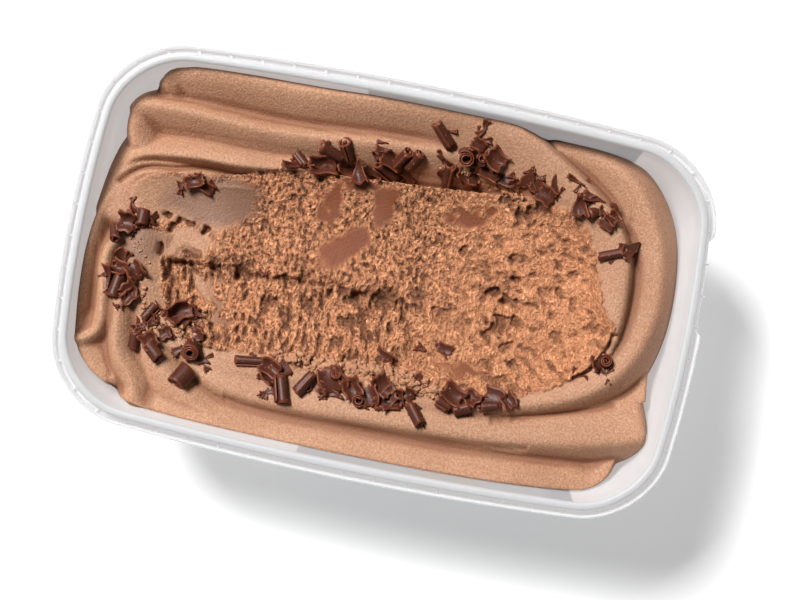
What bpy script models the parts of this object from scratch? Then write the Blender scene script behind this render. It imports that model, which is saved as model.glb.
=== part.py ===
"""Tub of chocolate ice cream, half scooped and strewn with chocolate curls.

A thin-walled plastic tub with a raised lip, a lid channel and a low outer fence, and one solid of
ice cream in it: soft folds, a scraped trench and small curls.  Lengths below are in millimetres;
Blender's own unit is the metre, so meshes are scaled by MM as they are made.  The base stands on
z = 0 with the origin at the middle of it, the length runs along X and the width along Y.
"""
import math
import random

import bmesh
import bpy
import numpy as np
from mathutils import Matrix, Vector

MM = 0.001

# Driving sizes of the tub
LENGTH = 190.0
WIDTH = 119.4
HEIGHT = 72.0
CORNER_RADIUS = 22.5
CORNER_TIGHTENING = 0.55
LONG_SIDE_BOW = 4.05
SHORT_SIDE_BOW = 4.69
DRAFT = math.tan(math.radians(6.0))

# The rim, from the outside in
FENCE_WALL = 0.8
CHANNEL_WIDTH = 1.8
LIP_WIDTH = 2.8
FENCE_DROP = 2.6
CHANNEL_DROP = 5.4
FLANGE_THICKNESS = 1.2
SKIRT_DROP = 10.0
EDGE_ROUND = 0.3
LIP_ROUND = 1.2
LIP_INNER_INSET = FENCE_WALL + CHANNEL_WIDTH + LIP_WIDTH
# Where the one middle point of a rounded corner stands, as a share of its radius
ARC_SHARE = 0.3

# Wall and floor
WALL = 1.15
FOOT_WIDTH = 3.0
FOOT_HEIGHT = 1.2
FLOOR_THICKNESS = 1.4
BASE_ROUND = 3.0
FLOOR_TOP = FOOT_HEIGHT + FLOOR_THICKNESS

# The stretch of fence that is left out for the fingers, on the short side at +X
GAP_START_Y = 3.6
GAP_END_Y = 31.0
GAP_DEPTH = 1.3
GAP_CHAMFER = 1.2
GAP_STEPS = 6
CUTTER_MARGIN = 1.0

# Points round a quarter of the outline
LONG_STEPS = 4
CORNER_STEPS = 7
SHORT_STEPS = 3

# The ice cream's fit in the tub and the fineness of its surface
CONTACT_GAP = 0.3
GRID_STEP = 1.0
BLOCK_INSET = 2.0
SURFACE_SHARE = 0.053
SPLINE_STEPS = 6
SHARPNESS_BEYOND_FOLD = 0.6
MERGE_SOFTNESS = 0.35
DEEPEST_GAP = -34.0
MERGE_DISTANCE = 0.01

# Folds of ice cream.  A crest runs through (x, y, z) with z below the lip's top; left and right of
# its direction the fold falls by so much within so much, a low edge value is a sharp crest, and
# ends says how round its start and its finish are.
FOLDS = {
    "back ribbon": {
        "crest": [(-76, 45.5, -7.6), (-72.5, 49.6, -5.8), (-60, 51.6, -4.8), (-30, 51.6, -4.4),
                  (-10, 53, -4.4), (5, 53.6, -4.6), (18, 53.2, -5), (28, 52, -6)],
        "left": (2.2, 3.6), "right": (10.4, 7.6), "edge": 0.4, "ends": (1.0, 0.2)},
    "ring": {
        "crest": [(-28, 51.4, -13), (-12, 52.4, -10), (4, 53.4, -7.2), (16, 53.6, -5.4),
                  (27, 52.8, -4.6), (36, 49.6, -4.6), (46, 44.4, -5), (55.5, 38.2, -5.3),
                  (62.5, 32.6, -5.8), (67.4, 26, -6.2), (70.3, 18.5, -6.5), (71.2, 9, -6.8),
                  (71.2, 1, -7.1), (70, -6, -7.6), (67, -12, -8.6), (62, -17.5, -10)],
        "left": (2.8, 5.6), "right": (10.0, 4.4), "edge": 0.6, "ends": (0.1, 0.2)},
    "second ribbon": {
        "crest": [(-83.6, 36, -9), (-80, 38.2, -8), (-70, 38.5, -7.2), (-60, 38.2, -7),
                  (-50, 37.7, -7), (-40, 37.6, -7.1), (-30, 38.2, -7.3), (-20, 39.3, -7.5),
                  (-10, 40.3, -7.8), (0, 41.0, -8.2), (9, 41.6, -8.8), (18, 41.6, -10.6)],
        "left": (3.6, 4.2), "right": (7.0, 5.4), "edge": 0.3, "ends": (1.0, 0.1)},
    "second ribbon's end": {
        "crest": [(-81.5, 39.5, -9), (-83.2, 35, -8.8), (-83, 30, -9), (-81, 25.5, -9.6)],
        "left": (5.0, 2.6), "right": (2.4, 4.0), "edge": 0.7, "ends": (0.8, 0.8)},
    "third ribbon": {
        "crest": [(-83.8, 17.5, -12), (-82, 20.4, -10.2), (-79, 22.6, -9.2), (-75, 23.9, -8.8),
                  (-68, 24.9, -8.4), (-60, 25.6, -8.2), (-50, 25.7, -8.3), (-40, 26.7, -8.9),
                  (-34, 27.8, -9.5), (-24, 29.4, -10.8)],
        "left": (6.0, 4.8), "right": (2.4, 4.4), "edge": 0.45, "ends": (1.0, 0.1)},
    "shallow dish": {
        "crest": [(-86, 5, -7.8), (-84, 11.5, -9.2), (-80, 16.5, -9.9), (-73, 18.6, -10.3),
                  (-62, 19, -10.9), (-52, 18.5, -11.8), (-42, 17, -12.8)],
        "left": (6.0, 2.2), "right": (9.0, 1.4), "edge": 1.0, "ends": (0.3, 0.1)},
    "wall roll, left": {
        "crest": [(-85.4, 10, -8.8), (-87.6, 2, -6.6), (-88.6, -10, -5.4), (-89, -20, -5),
                  (-89, -28, -5.2), (-88, -34, -6.4)],
        "left": (3.4, 4.2), "right": (1.6, 4.0), "edge": 0.6, "ends": (0.3, 0.3)},
    "trough's inner crest, left": {
        "crest": [(-79, 3, -7.6), (-80.4, -3, -7), (-82.4, -8, -6.6), (-82.3, -13, -6.4),
                  (-81, -20, -6.2), (-80.2, -27, -6), (-81.3, -31.6, -6), (-84.4, -34.2, -6),
                  (-87.5, -35, -6)],
        "left": (2.6, 4.0), "right": (4.0, 4.4), "edge": 0.5, "ends": (0.2, 0.3)},
    "corner lobe": {
        "crest": [(-88.5, -31, -7.4), (-86, -37, -7.8), (-81.5, -42.6, -8.6), (-76, -46, -9.6)],
        "left": (7.5, 3.0), "right": (1.6, 4.0), "edge": 0.7, "ends": (0.2, 0.5)},
    "second crest, left": {
        "crest": [(-78.2, -15, -8.4), (-76.8, -20, -7.2), (-75.9, -25, -6.8), (-75.3, -31, -6.6),
                  (-73.6, -37, -6.8), (-70.4, -41.2, -7), (-67.8, -44.6, -7.2),
                  (-66.7, -48.5, -7.4), (-66.6, -53, -7.8)],
        "left": (5.5, 5.0), "right": (4.2, 4.0), "edge": 0.35, "ends": (0.2, 0.2)},
    "third crest, left": {
        "crest": [(-69, -24, -10), (-65.5, -29.5, -8.8), (-62, -34.5, -8.3), (-58.5, -39.5, -8.2),
                  (-55, -43, -8.4), (-49, -46.4, -8.9), (-43, -49.6, -9.6)],
        "left": (5.0, 3.6), "right": (8.0, 3.4), "edge": 0.45, "ends": (0.2, 0.1)},
    "front ribbon": {
        "crest": [(-66, -52.2, -8.8), (-45, -53.4, -8.2), (-30, -54, -8.8), (0, -54, -9.2),
                  (30, -53.2, -9.2), (50, -52, -10), (65, -51, -12), (73, -49.4, -13.6),
                  (78, -45, -15), (79.5, -39, -16)],
        "left": (9.0, 4.2), "right": (1.6, 3.4), "edge": 0.8, "ends": (0.2, 0.6)},
    "front ring": {
        "crest": [(-54, -34.5, -11.4), (-47, -38.6, -10.2), (-40, -41, -9.4), (-30, -42, -8.9),
                  (-20, -42, -8.5), (-10, -41.6, -8.2), (0, -41.2, -8), (15, -40.8, -8),
                  (30, -40.4, -8.2), (45, -39.2, -8.4), (60, -37, -8.6), (70, -34.9, -8.8),
                  (79, -32.7, -9.2), (85.2, -30.6, -9.8)],
        "left": (8.5, 3.6), "right": (6.0, 6.6), "edge": 0.5, "ends": (0.1, 1.0)},
    "outer ribbon, right": {
        "crest": [(44, 49.5, -10.4), (56, 48.6, -9.4), (64, 45.6, -8.8), (70, 40.6, -8.5),
                  (75.2, 33.4, -8.3), (78.8, 25.4, -8.3), (80.8, 16, -8.4), (81.2, 7, -8.5),
                  (79.8, -1, -8.6), (77, -8.4, -8.6), (73, -14.6, -8.5), (68, -19.2, -8.4),
                  (60.5, -23.6, -8.3), (52, -26.8, -8.4), (43, -29.4, -8.8), (33, -31.8, -9.6),
                  (22, -33.8, -11)],
        "left": (5.2, 5.4), "right": (7.6, 4.6), "edge": 0.45, "ends": (0.3, 0.1)},
    "lowest ribbon, right": {
        "crest": [(63, 47.5, -14.5), (74, 41.2, -15), (79, 33, -16), (81.6, 22, -17),
                  (83.4, 12, -18.4), (84.2, 0, -19), (84.6, -12, -18.6), (85, -20, -15.4)],
        "left": (1.3, 4.0), "right": (6.0, 1.5), "edge": 0.7, "ends": (0.3, 0.8)},
    "shelf under the front curls": {
        "crest": [(-44, -32.5, -11.2), (-32, -33, -10.8), (-10, -33.2, -10.4), (10, -33, -10.2),
                  (28, -32, -10)],
        "left": (6.0, 1.6), "right": (6.0, 2.4), "edge": 1.0, "ends": (0.1, 0.1)},
    "ledge round the trench": {
        "crest": [(-76, 8, -8.9), (-75.5, 0, -8), (-74.5, -8, -8.2), (-73, -16, -8.7),
                  (-69.5, -24, -9.3), (-62, -30, -10), (-54, -33, -10.6), (-44, -35, -11),
                  (-30, -36.5, -11.4)],
        "left": (6.5, 1.6), "right": (5.0, 3.0), "edge": 1.0, "ends": (0.3, 0.2)},
}
END_REACH = 2.6
END_FALL = 3.2

# Narrow dark clefts between folds: a path, then half width and depth
CLEFTS = [
    ([(-84, 14), (-80, 18), (-75, 20.2), (-68, 21.2), (-60, 22.9), (-52, 23.2), (-46.5, 22.8)], 0.8, 2.0),
    ([(-82.8, -12), (-80.3, -20), (-79, -28), (-77.4, -36), (-75.5, -43), (-74.5, -47)], 0.8, 0.8),
    ([(40, -34.5), (50, -31.5), (60, -28.5), (70, -25.5), (76, -23)], 0.9, 1.2),
    ([(-40, -43.6), (-30, -44.8), (-10, -44.6), (20, -43.6), (40, -42.2), (52, -40.6)], 0.9, 1.0),
    ([(-18, 31), (-12, 31.6), (-6, 32), (0, 32.2)], 1.4, 1.4),
    ([(61.4, -17.4), (65.4, -14.2), (69, -8.4), (70.6, -2)], 0.7, 2.4),
]

# The scraped trench: its outline, anticlockwise, and its floor
TRENCH_OUTLINE = [
    (-45, -30), (-37, -29.2), (-22, -29.2), (0, -28.6), (20, -28), (40, -27), (47, -25.5), (57, -20.8),
    (61.4, -17.4), (65.2, -14), (68.6, -8.4), (70.2, -2), (69, 1.6), (66.4, 4.6), (65, 8),
    (63.8, 12), (60, 21.5), (55, 28), (48, 32), (38, 33), (24, 32), (10, 30.8), (-5, 29.8),
    (-20, 28.8), (-30, 28), (-38, 26.6), (-47, 23.4), (-60, 21.2), (-72, 19), (-79, 14), (-79, 7),
    (-72, 2.5), (-67.6, -1), (-67, -8), (-65.6, -14), (-63, -20), (-58, -27), (-52, -29)]
TRENCH_WALL_HEIGHT = 8.0
TRENCH_WALL_REACH = 1.2
UPPER_PASS = {"middle": 6.0, "half": 24.0, "floor": -16.4, "rise": 7.0}
LOWER_PASS = {"middle": -11.0, "half": 18.0, "floor": -17.4, "rise": 4.8}
RIGHT_PASS = {"middle": 0.0, "half": 30.0, "floor": -16.8, "rise": 6.0}
RIGHT_END = {"x": 50.0, "reach": 18.0, "rise": 5.0}
PASS_SEAM_Y = -4.5
SEAM_HALF_WIDTH = 1.4
SEAM_WANDER = 3.0
SEAM_WANDER_SIZE = 5.0
RIGHT_PASS_X = 12.0
RIGHT_PASS_HALF_WIDTH = 7.0
SMEAR_START_X = -38.0
SMEAR_SLOPE = 0.17
LOWER_SMEAR_SLOPE = 0.13
SMEAR_SOFTNESS = 7.0
FLOOR_UNEVENNESS = 1.4
UNEVENNESS_SIZE = 13.0

# The crumbly lip pushed up along the trench's lower edge
CRUMB_LIP = [(-24, -27, 0), (-10, -26, 0), (0, -26.4, 0), (10, -25.4, 0), (24, -26.4, 0)]
CRUMB_LIP_WIDTH = 3.6
CRUMB_LIP_HEIGHT = 3.6
CRUMB_SIZE = 3.0
DISH = {"x": -77.0, "y": 16.2, "half_x": 5.0, "half_y": 2.4, "depth": 1.1}

# Chocolate curls: kind, one end, other end, width across; a scroll stands at one point
CURLS = [
    ("shard", -36.5, 28.2, -27, 29.6, 1.8), ("roll", -33, 32.5, -29.5, 29.5, 2.6),
    ("flake", -29, 30, -21, 31.5, 4.4), ("roll", -26, 36, -19, 33.6, 3.2),
    ("roll", -19, 38.5, -16.5, 33.5, 3.4), ("flake", -20.5, 32, -14, 30.5, 3.4),
    ("shard", -12, 27.6, -14.5, 35, 5.5), ("shard", -13, 32.5, -6.5, 30.8, 3.0),
    ("roll", -8.6, 34.4, -2.5, 31.4, 3.6), ("flake", -8, 36.8, -2, 35, 3.8),
    ("shard", -10, 38.3, -5, 38.5, 2.0), ("roll", -3.5, 34.5, 0, 39.5, 3.0),
    ("roll", 1, 35, 3.8, 39.5, 3.4), ("shard", -1, 34, 4, 31, 2.2), ("roll", 6.5, 49.2, 12, 43.8, 3.2),
    ("shard", 19, 48, 21.5, 50.5, 1.6), ("flake", 18, 46.5, 22, 44.5, 3.0),
    ("scroll", 17, 41.3, 17.3, 41.5, 4.4), ("scroll", 22, 41.6, 22, 42, 3.2),
    ("flake", 23, 44, 28, 40.5, 4.8), ("flake", 18.5, 44.5, 21, 40, 4.0), ("flake", 22, 38.8, 28, 37, 4.0),
    ("roll", 12.8, 32, 13, 38, 3.0), ("shard", 13.5, 37.5, 10, 40, 2.0), ("flake", 15, 36.4, 21, 35, 3.2),
    ("shard", 19.5, 36, 22.5, 33.2, 3.0), ("flake", 27.5, 37.2, 33, 36.6, 3.0),
    ("shard", 32, 37.8, 34.5, 34.5, 3.0), ("shard", 36.5, 35.5, 37, 41.5, 5.5),
    ("flake", 38, 38, 40.5, 36, 3.6), ("flake", 40, 36, 45, 33.5, 4.4),
    ("shard", 45.2, 33, 43.8, 41.5, 2.8), ("shard", 47.5, 41.5, 53, 39.4, 1.2),
    ("shard", 54, 31, 52, 37, 5.2), ("shard", 53, 36.5, 60, 36, 3.2), ("roll", 56, 31.3, 63.8, 35, 3.0),
    ("flake", 60, 31.5, 64, 29, 3.6), ("flake", 61.5, 33, 64.5, 30.5, 3.0),
    ("roll", 61.6, 20, 68.5, 22.8, 2.6), ("shard", 67.5, 22, 73, 26, 4.6),
    ("scroll", 69.4, -10, 69.9, -10.4, 3.6), ("flake", 66.5, -9, 69, -13, 3.8),
    ("shard", 68.5, -13, 72.5, -17, 2.6), ("shard", 66, -13, 61, -17, 1.3),
    ("flake", -64, 16.6, -58.5, 19.5, 3.2), ("flake", -60, 18.5, -55.5, 16.4, 2.6),
    ("shard", -65, 15.2, -66.5, 17.5, 1.4), ("shard", -77, 5.5, -78.8, 9, 2.2),
    ("flake", -81, 3, -76, 2.5, 5.0), ("roll", -82.3, 1, -80.7, -3.4, 2.6),
    ("roll", -74.4, 6.8, -74.2, 2, 3.2), ("shard", -73, 4.5, -70, 3.2, 2.0),
    ("flake", -78, 1.2, -75.5, 0, 2.5), ("flake", -79.5, -9.5, -77.5, -6, 3.6),
    ("flake", -80, -11.3, -76, -12.5, 3.6), ("flake", -75, -9.5, -71, -13.5, 4.2),
    ("roll", -77.6, -13.5, -78.5, -20.5, 3.4), ("shard", -81.5, -11, -80, -18.5, 2.2),
    ("shard", -75.2, -15.4, -71, -18.8, 4.8), ("flake", -75, -21.2, -72.2, -17.8, 3.0),
    ("shard", -75, -19, -74.6, -23.5, 2.0), ("roll", -68, -25, -65.5, -20.5, 2.8),
    ("flake", -67.5, -26, -65, -24, 3.0), ("shard", -70.5, -29, -67, -26.5, 3.0),
    ("roll", -69.5, -34.5, -69.5, -29.5, 3.4), ("flake", -66.5, -29.2, -63, -33, 4.0),
    ("roll", -65.5, -32, -61, -35.8, 3.6), ("flake", -62, -23, -56.5, -18.5, 4.6),
    ("shard", -63, -21.5, -58, -23, 3.0), ("flake", -59, -24.5, -55.5, -22.5, 3.0),
    ("shard", -55.5, -20, -50.5, -21.5, 2.0), ("flake", -53, -26, -50, -28, 4.0),
    ("flake", -62, -26.5, -60, -29.5, 3.0), ("scroll", -52, -31.2, -52.3, -31.4, 4.4),
    ("flake", -54.5, -30, -51, -33.5, 4.6), ("shard", -50, -33.8, -46.5, -34.2, 2.4),
    ("shard", -58, -33.5, -53, -30.5, 2.6), ("roll", -52, -37, -54.8, -42, 5.0),
    ("roll", -39, -31.8, -30, -30.6, 2.4), ("flake", -31, -31, -25, -33, 4.0),
    ("flake", -27, -29.5, -22.5, -33.5, 3.5), ("shard", -24.5, -28.3, -23, -31, 2.0),
    ("flake", -30, -33.5, -26, -36.5, 3.2), ("shard", -24.5, -38, -30, -41, 1.8),
    ("roll", -24.5, -34, -22, -41.5, 4.0), ("roll", -19, -37.5, -15, -31, 3.4),
    ("flake", -12, -29, -8, -35.5, 5.0), ("flake", -10, -28.5, -5, -34, 4.5),
    ("scroll", -8.5, -30.4, -8.2, -30.8, 3.0), ("shard", -12.5, -34.5, -5, -36.5, 3.0),
    ("flake", -4.5, -30.5, -1, -35.5, 4.5), ("shard", -4.5, -32, 1, -33, 3.0),
    ("scroll", -0.3, -35.6, 0, -35.9, 3.2), ("flake", 2, -31.5, 4.5, -37, 4.5),
    ("flake", 3.5, -28, 8.5, -33, 4.4), ("flake", 6, -36.5, 10, -32, 4.2),
    ("roll", 5, -36.8, 12, -35.6, 2.2), ("shard", 11, -31, 13, -35.5, 3.0),
    ("flake", 12.5, -30.5, 16, -32, 3.5), ("shard", 15, -25.5, 18.5, -28, 3.0),
    ("roll", 15.5, -34.5, 19.5, -39.5, 3.4), ("shard", 14.5, -34, 21, -40.5, 2.0),
    ("flake", 24, -27.5, 30, -30.5, 4.5), ("roll", 23, -31.5, 27, -33, 3.2),
    ("roll", 28.8, -33.5, 33, -31.5, 3.2), ("flake", 31, -28, 35, -30.5, 3.6),
    ("shard", 33.5, -29, 37, -31.5, 3.0), ("flake", 36.5, -26.6, 42, -28, 4.6),
    ("roll", 41, -29.5, 36.5, -30.8, 2.4), ("flake", 42.5, -25.8, 45.5, -29.5, 3.6),
    ("flake", 2, -20.6, 7.5, -23, 2.6), ("flake", 20, -15.8, 24.6, -16.6, 2.6),
    ("shard", 14, -17, 16.6, -18, 2.0)]
CURL_SEED = 7
CURL_SIDES = 6
CURL_THICKNESS = 0.75
ROLL_TAPER = 0.84
FLAKE_STEPS = 2
FLAKE_CURVE = 1.2
SHARD_POINT = 0.12
MOST_TILT = math.radians(24.0)

TUB_COLOUR = (0.87, 0.87, 0.88, 1.0)
TUB_ROUGHNESS = 0.35
TUB_SHARP_ANGLE = math.radians(35.0)
ICE_COLOUR = (0.46, 0.245, 0.145, 1.0)
ICE_ROUGHNESS = 0.6


# Outline and lofts

def quarter_outline(inset):
    """Points of a quarter of the rounded rectangle, from the +X end of the middle line to +Y."""
    half_x = LENGTH / 2 - inset
    half_y = WIDTH / 2 - inset
    radius = max(CORNER_RADIUS - CORNER_TIGHTENING * inset, 1.0)
    points = [(half_x, (half_y - radius) * step / SHORT_STEPS) for step in range(SHORT_STEPS)]
    for step in range(CORNER_STEPS + 1):
        turn = math.radians(90.0 * step / CORNER_STEPS)
        points.append((half_x - radius + radius * math.cos(turn),
                       half_y - radius + radius * math.sin(turn)))
    points += [((half_x - radius) * (1 - step / LONG_STEPS), half_y)
               for step in range(1, LONG_STEPS)]
    return points


def bowed(x, y):
    """Moves a place of the plain rectangle so that all four sides bow outwards."""
    half_x = LENGTH / 2
    half_y = WIDTH / 2
    return (x * (1 - SHORT_SIDE_BOW / half_x * (y / half_y) ** 2),
            y * (1 - LONG_SIDE_BOW / half_y * (x / half_x) ** 2))


def outline(inset):
    """The tub's outline, so far inside the outermost edge, anticlockwise."""
    quarter = quarter_outline(inset)
    across = [(0.0, quarter[-1][1])]
    left = [(-x, y) for x, y in reversed(quarter[1:])]
    half = quarter + across + left
    whole = half + [(-x, -y) for x, y in half]
    return [bowed(x, y) for x, y in whole]


def mesh_object(name, working_mesh, collection):
    """Turns a working mesh in millimetres into an object in metres."""
    bmesh.ops.scale(working_mesh, vec=(MM, MM, MM), verts=working_mesh.verts)
    bmesh.ops.recalc_face_normals(working_mesh, faces=working_mesh.faces)
    mesh = bpy.data.meshes.new(name)
    working_mesh.to_mesh(mesh)
    working_mesh.free()
    made = bpy.data.objects.new(name, mesh)
    collection.objects.link(made)
    return made


def loft(name, profile, collection):
    """A closed solid through outlines, each given as (inset, height), with flat ends."""
    working_mesh = bmesh.new()
    rings = [[working_mesh.verts.new((x, y, height)) for x, y in outline(inset)]
             for inset, height in profile]
    count = len(rings[0])
    for lower, upper in zip(rings, rings[1:]):
        for place in range(count):
            after = (place + 1) % count
            working_mesh.faces.new((lower[place], lower[after], upper[after], upper[place]))
    working_mesh.faces.new(rings[0])
    working_mesh.faces.new(rings[-1])
    return mesh_object(name, working_mesh, collection)


def plain_material(name, colour, roughness):
    """A Principled material of one colour."""
    made = bpy.data.materials.new(name)
    made.use_nodes = True
    shader = made.node_tree.nodes["Principled BSDF"]
    shader.inputs["Base Color"].default_value = colour
    shader.inputs["Roughness"].default_value = roughness
    return made


def hide_cutter(cutter):
    """Marks an object as a cutter, which is no part of the model."""
    cutter.hide_render = True
    cutter.display_type = "WIRE"


def baked(source, name, collection):
    """A plain mesh object of what an object's modifiers make of it."""
    bpy.context.view_layer.update()
    evaluated = source.evaluated_get(bpy.context.evaluated_depsgraph_get())
    made = bpy.data.objects.new(name, bpy.data.meshes.new_from_object(evaluated))
    collection.objects.link(made)
    return made


# The tub

def inner_inset(height):
    """How far the inner wall stands inside the outermost edge, at a height."""
    return LIP_INNER_INSET + (HEIGHT - LIP_ROUND - height) * DRAFT


def outer_inset(height):
    """The same for the wall's outer face."""
    return inner_inset(height) - WALL


def tub_profile():
    """(inset, height) from the middle of the underside, out, over the rim and in to the floor."""
    fence_top = HEIGHT - FENCE_DROP
    channel = HEIGHT - CHANNEL_DROP
    flange_under = channel - FLANGE_THICKNESS
    skirt_end = HEIGHT - SKIRT_DROP
    foot = outer_inset(0.0) + BASE_ROUND
    lip_outer = FENCE_WALL + CHANNEL_WIDTH
    return [
        (foot + FOOT_WIDTH + FOOT_HEIGHT, FOOT_HEIGHT), (foot + FOOT_WIDTH, 0.0), (foot, 0.0),
        (outer_inset(BASE_ROUND) + ARC_SHARE * BASE_ROUND, ARC_SHARE * BASE_ROUND),
        (outer_inset(BASE_ROUND), BASE_ROUND),
        (outer_inset(flange_under), flange_under),
        (FENCE_WALL + EDGE_ROUND, flange_under),
        (FENCE_WALL, skirt_end), (EDGE_ROUND, skirt_end), (0.0, skirt_end + EDGE_ROUND),
        (0.0, fence_top - EDGE_ROUND), (EDGE_ROUND, fence_top),
        (FENCE_WALL - 0.5 * EDGE_ROUND, fence_top - 0.5 * EDGE_ROUND),
        (FENCE_WALL, channel), (lip_outer, channel),
        (lip_outer, HEIGHT - LIP_ROUND), (lip_outer + ARC_SHARE * LIP_ROUND, HEIGHT - ARC_SHARE * LIP_ROUND),
        (lip_outer + LIP_ROUND, HEIGHT), (LIP_INNER_INSET - LIP_ROUND, HEIGHT),
        (LIP_INNER_INSET - ARC_SHARE * LIP_ROUND, HEIGHT - ARC_SHARE * LIP_ROUND),
        (LIP_INNER_INSET, HEIGHT - LIP_ROUND),
        (inner_inset(FLOOR_TOP + BASE_ROUND), FLOOR_TOP + BASE_ROUND),
        (inner_inset(FLOOR_TOP) + ARC_SHARE * BASE_ROUND, FLOOR_TOP + ARC_SHARE * BASE_ROUND),
        (inner_inset(FLOOR_TOP) + BASE_ROUND, FLOOR_TOP)]


def edge_x(inset, y):
    """The outline's x on its +X side, between the corners."""
    return bowed(LENGTH / 2 - inset, y)[0]


def fence_gap_cutter(collection):
    """A prism over the left-out stretch of fence, as deep as the gap, with slanted ends."""
    outside = LENGTH / 2 + CUTTER_MARGIN
    levels = [GAP_START_Y + (GAP_END_Y - GAP_START_Y) * step / GAP_STEPS
              for step in range(GAP_STEPS + 1)]
    plan = [(outside, GAP_START_Y - GAP_CHAMFER)]
    plan += [(edge_x(GAP_DEPTH, y), y) for y in levels]
    plan += [(outside, GAP_END_Y + GAP_CHAMFER)]
    working_mesh = bmesh.new()
    face = working_mesh.faces.new([working_mesh.verts.new((x, y, HEIGHT - SKIRT_DROP - CUTTER_MARGIN))
                                   for x, y in plan])
    grown = bmesh.ops.extrude_face_region(working_mesh, geom=[face])
    risen = [item for item in grown["geom"] if isinstance(item, bmesh.types.BMVert)]
    bmesh.ops.translate(working_mesh, vec=(0, 0, SKIRT_DROP + 2 * CUTTER_MARGIN), verts=risen)
    cutter = mesh_object("fence_gap_cutter", working_mesh, collection)
    hide_cutter(cutter)
    return cutter


def make_tub(collection, cutters):
    """The tub as one solid, with the finger gap cut out of its fence."""
    tub = loft("tub", tub_profile(), collection)
    cut = tub.modifiers.new("fence gap", "BOOLEAN")
    cut.operation = "DIFFERENCE"
    cut.object = fence_gap_cutter(cutters)
    tub.data.materials.append(plain_material("tub", TUB_COLOUR, TUB_ROUGHNESS))
    tub.data.shade_smooth()
    tub.data.set_sharp_from_angle(angle=TUB_SHARP_ANGLE)
    return tub


# The ice cream's surface

def smooth_path(points):
    """A Catmull-Rom curve through the points, whatever their number of values."""
    rows = np.array(points, float)
    padded = np.vstack([2 * rows[0] - rows[1], rows, 2 * rows[-1] - rows[-2]])
    share = np.linspace(0, 1, SPLINE_STEPS, endpoint=False)[:, None]
    pieces = []
    for before, start, end, after in zip(padded, padded[1:], padded[2:], padded[3:]):
        pieces.append(0.5 * (2 * start + (end - before) * share
                             + (2 * before - 5 * start + 4 * end - after) * share ** 2
                             + (3 * start - before - 3 * end + after) * share ** 3))
    pieces.append(rows[-1:])
    return np.vstack(pieces)


def from_path(path, x, y):
    """Distance from a path, positive on its left; how far before its start and past its end a
    place lies; and the path's level at the nearest place."""
    nearest = np.full(x.shape, np.inf)
    side = np.ones(x.shape)
    level = np.zeros(x.shape)
    before = np.zeros(x.shape)
    past = np.zeros(x.shape)
    for number, (start, end) in enumerate(zip(path, path[1:])):
        run = end[:2] - start[:2]
        length = math.hypot(run[0], run[1])
        along = ((x - start[0]) * run[0] + (y - start[1]) * run[1]) / length
        share = np.clip(along / length, 0, 1)
        off_x = x - start[0] - share * run[0]
        off_y = y - start[1] - share * run[1]
        apart = off_x ** 2 + off_y ** 2
        nearer = apart < nearest
        nearest = np.where(nearer, apart, nearest)
        side = np.where(nearer, np.where(run[0] * off_y - run[1] * off_x < 0, -1.0, 1.0), side)
        before = np.where(nearer, np.maximum(-along, 0) if number == 0 else 0.0, before)
        past = np.where(nearer, np.maximum(along - length, 0) if number == len(path) - 2 else 0.0, past)
        if len(start) > 2:
            level = np.where(nearer, start[2] + share * (end[2] - start[2]), level)
    return np.sqrt(nearest) * side, before, past, level


def fold_height(fold, x, y):
    """Height of one fold: its crest's level, less the fall to either side and round its ends."""
    apart, before, past, level = from_path(smooth_path(fold["crest"]), x, y)
    reach = np.where(apart > 0, fold["left"][0], fold["right"][0])
    fall = np.where(apart > 0, fold["left"][1], fold["right"][1])
    share = np.abs(apart) / reach
    edge = fold["edge"]
    bulge = (np.sqrt(share ** 2 + edge ** 2) - edge) / (math.sqrt(1 + edge ** 2) - edge)
    beyond = SHARPNESS_BEYOND_FOLD * np.maximum(share - 1, 0) ** 2
    start, finish = fold["ends"]
    rounding = END_FALL * (start * (before / END_REACH) ** 2 + finish * (past / END_REACH) ** 2)
    return level - fall * (bulge + beyond) - rounding


def soft_max(first, second, softness):
    """The higher of two surfaces, with the crease between them filled a little."""
    return np.maximum(first, second) + softness * np.exp(-np.abs(first - second) / softness)


def lumps(x, y, size, seed):
    """Smooth random values from 0 to 1, with hills about as wide as size."""
    table = np.random.RandomState(seed).rand(64, 64)
    cell_x = np.floor(x / size).astype(int)
    cell_y = np.floor(y / size).astype(int)
    part_x = x / size - cell_x
    part_y = y / size - cell_y
    part_x = part_x ** 2 * (3 - 2 * part_x)
    part_y = part_y ** 2 * (3 - 2 * part_y)
    corner = [table[(cell_x + i) % 64, (cell_y + j) % 64] for i, j in ((0, 0), (1, 0), (0, 1), (1, 1))]
    near = corner[0] * (1 - part_x) + corner[1] * part_x
    far = corner[2] * (1 - part_x) + corner[3] * part_x
    return near * (1 - part_y) + far * part_y


def pass_floor(scoop, y):
    """The rounded floor that one pull of the scoop leaves."""
    return scoop["floor"] + scoop["rise"] * ((y - scoop["middle"]) / scoop["half"]) ** 2


def blend(low, high, value):
    """0 below low, 1 above high, smooth between."""
    share = np.clip((value - low) / (high - low), 0, 1)
    return share ** 2 * (3 - 2 * share)


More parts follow.
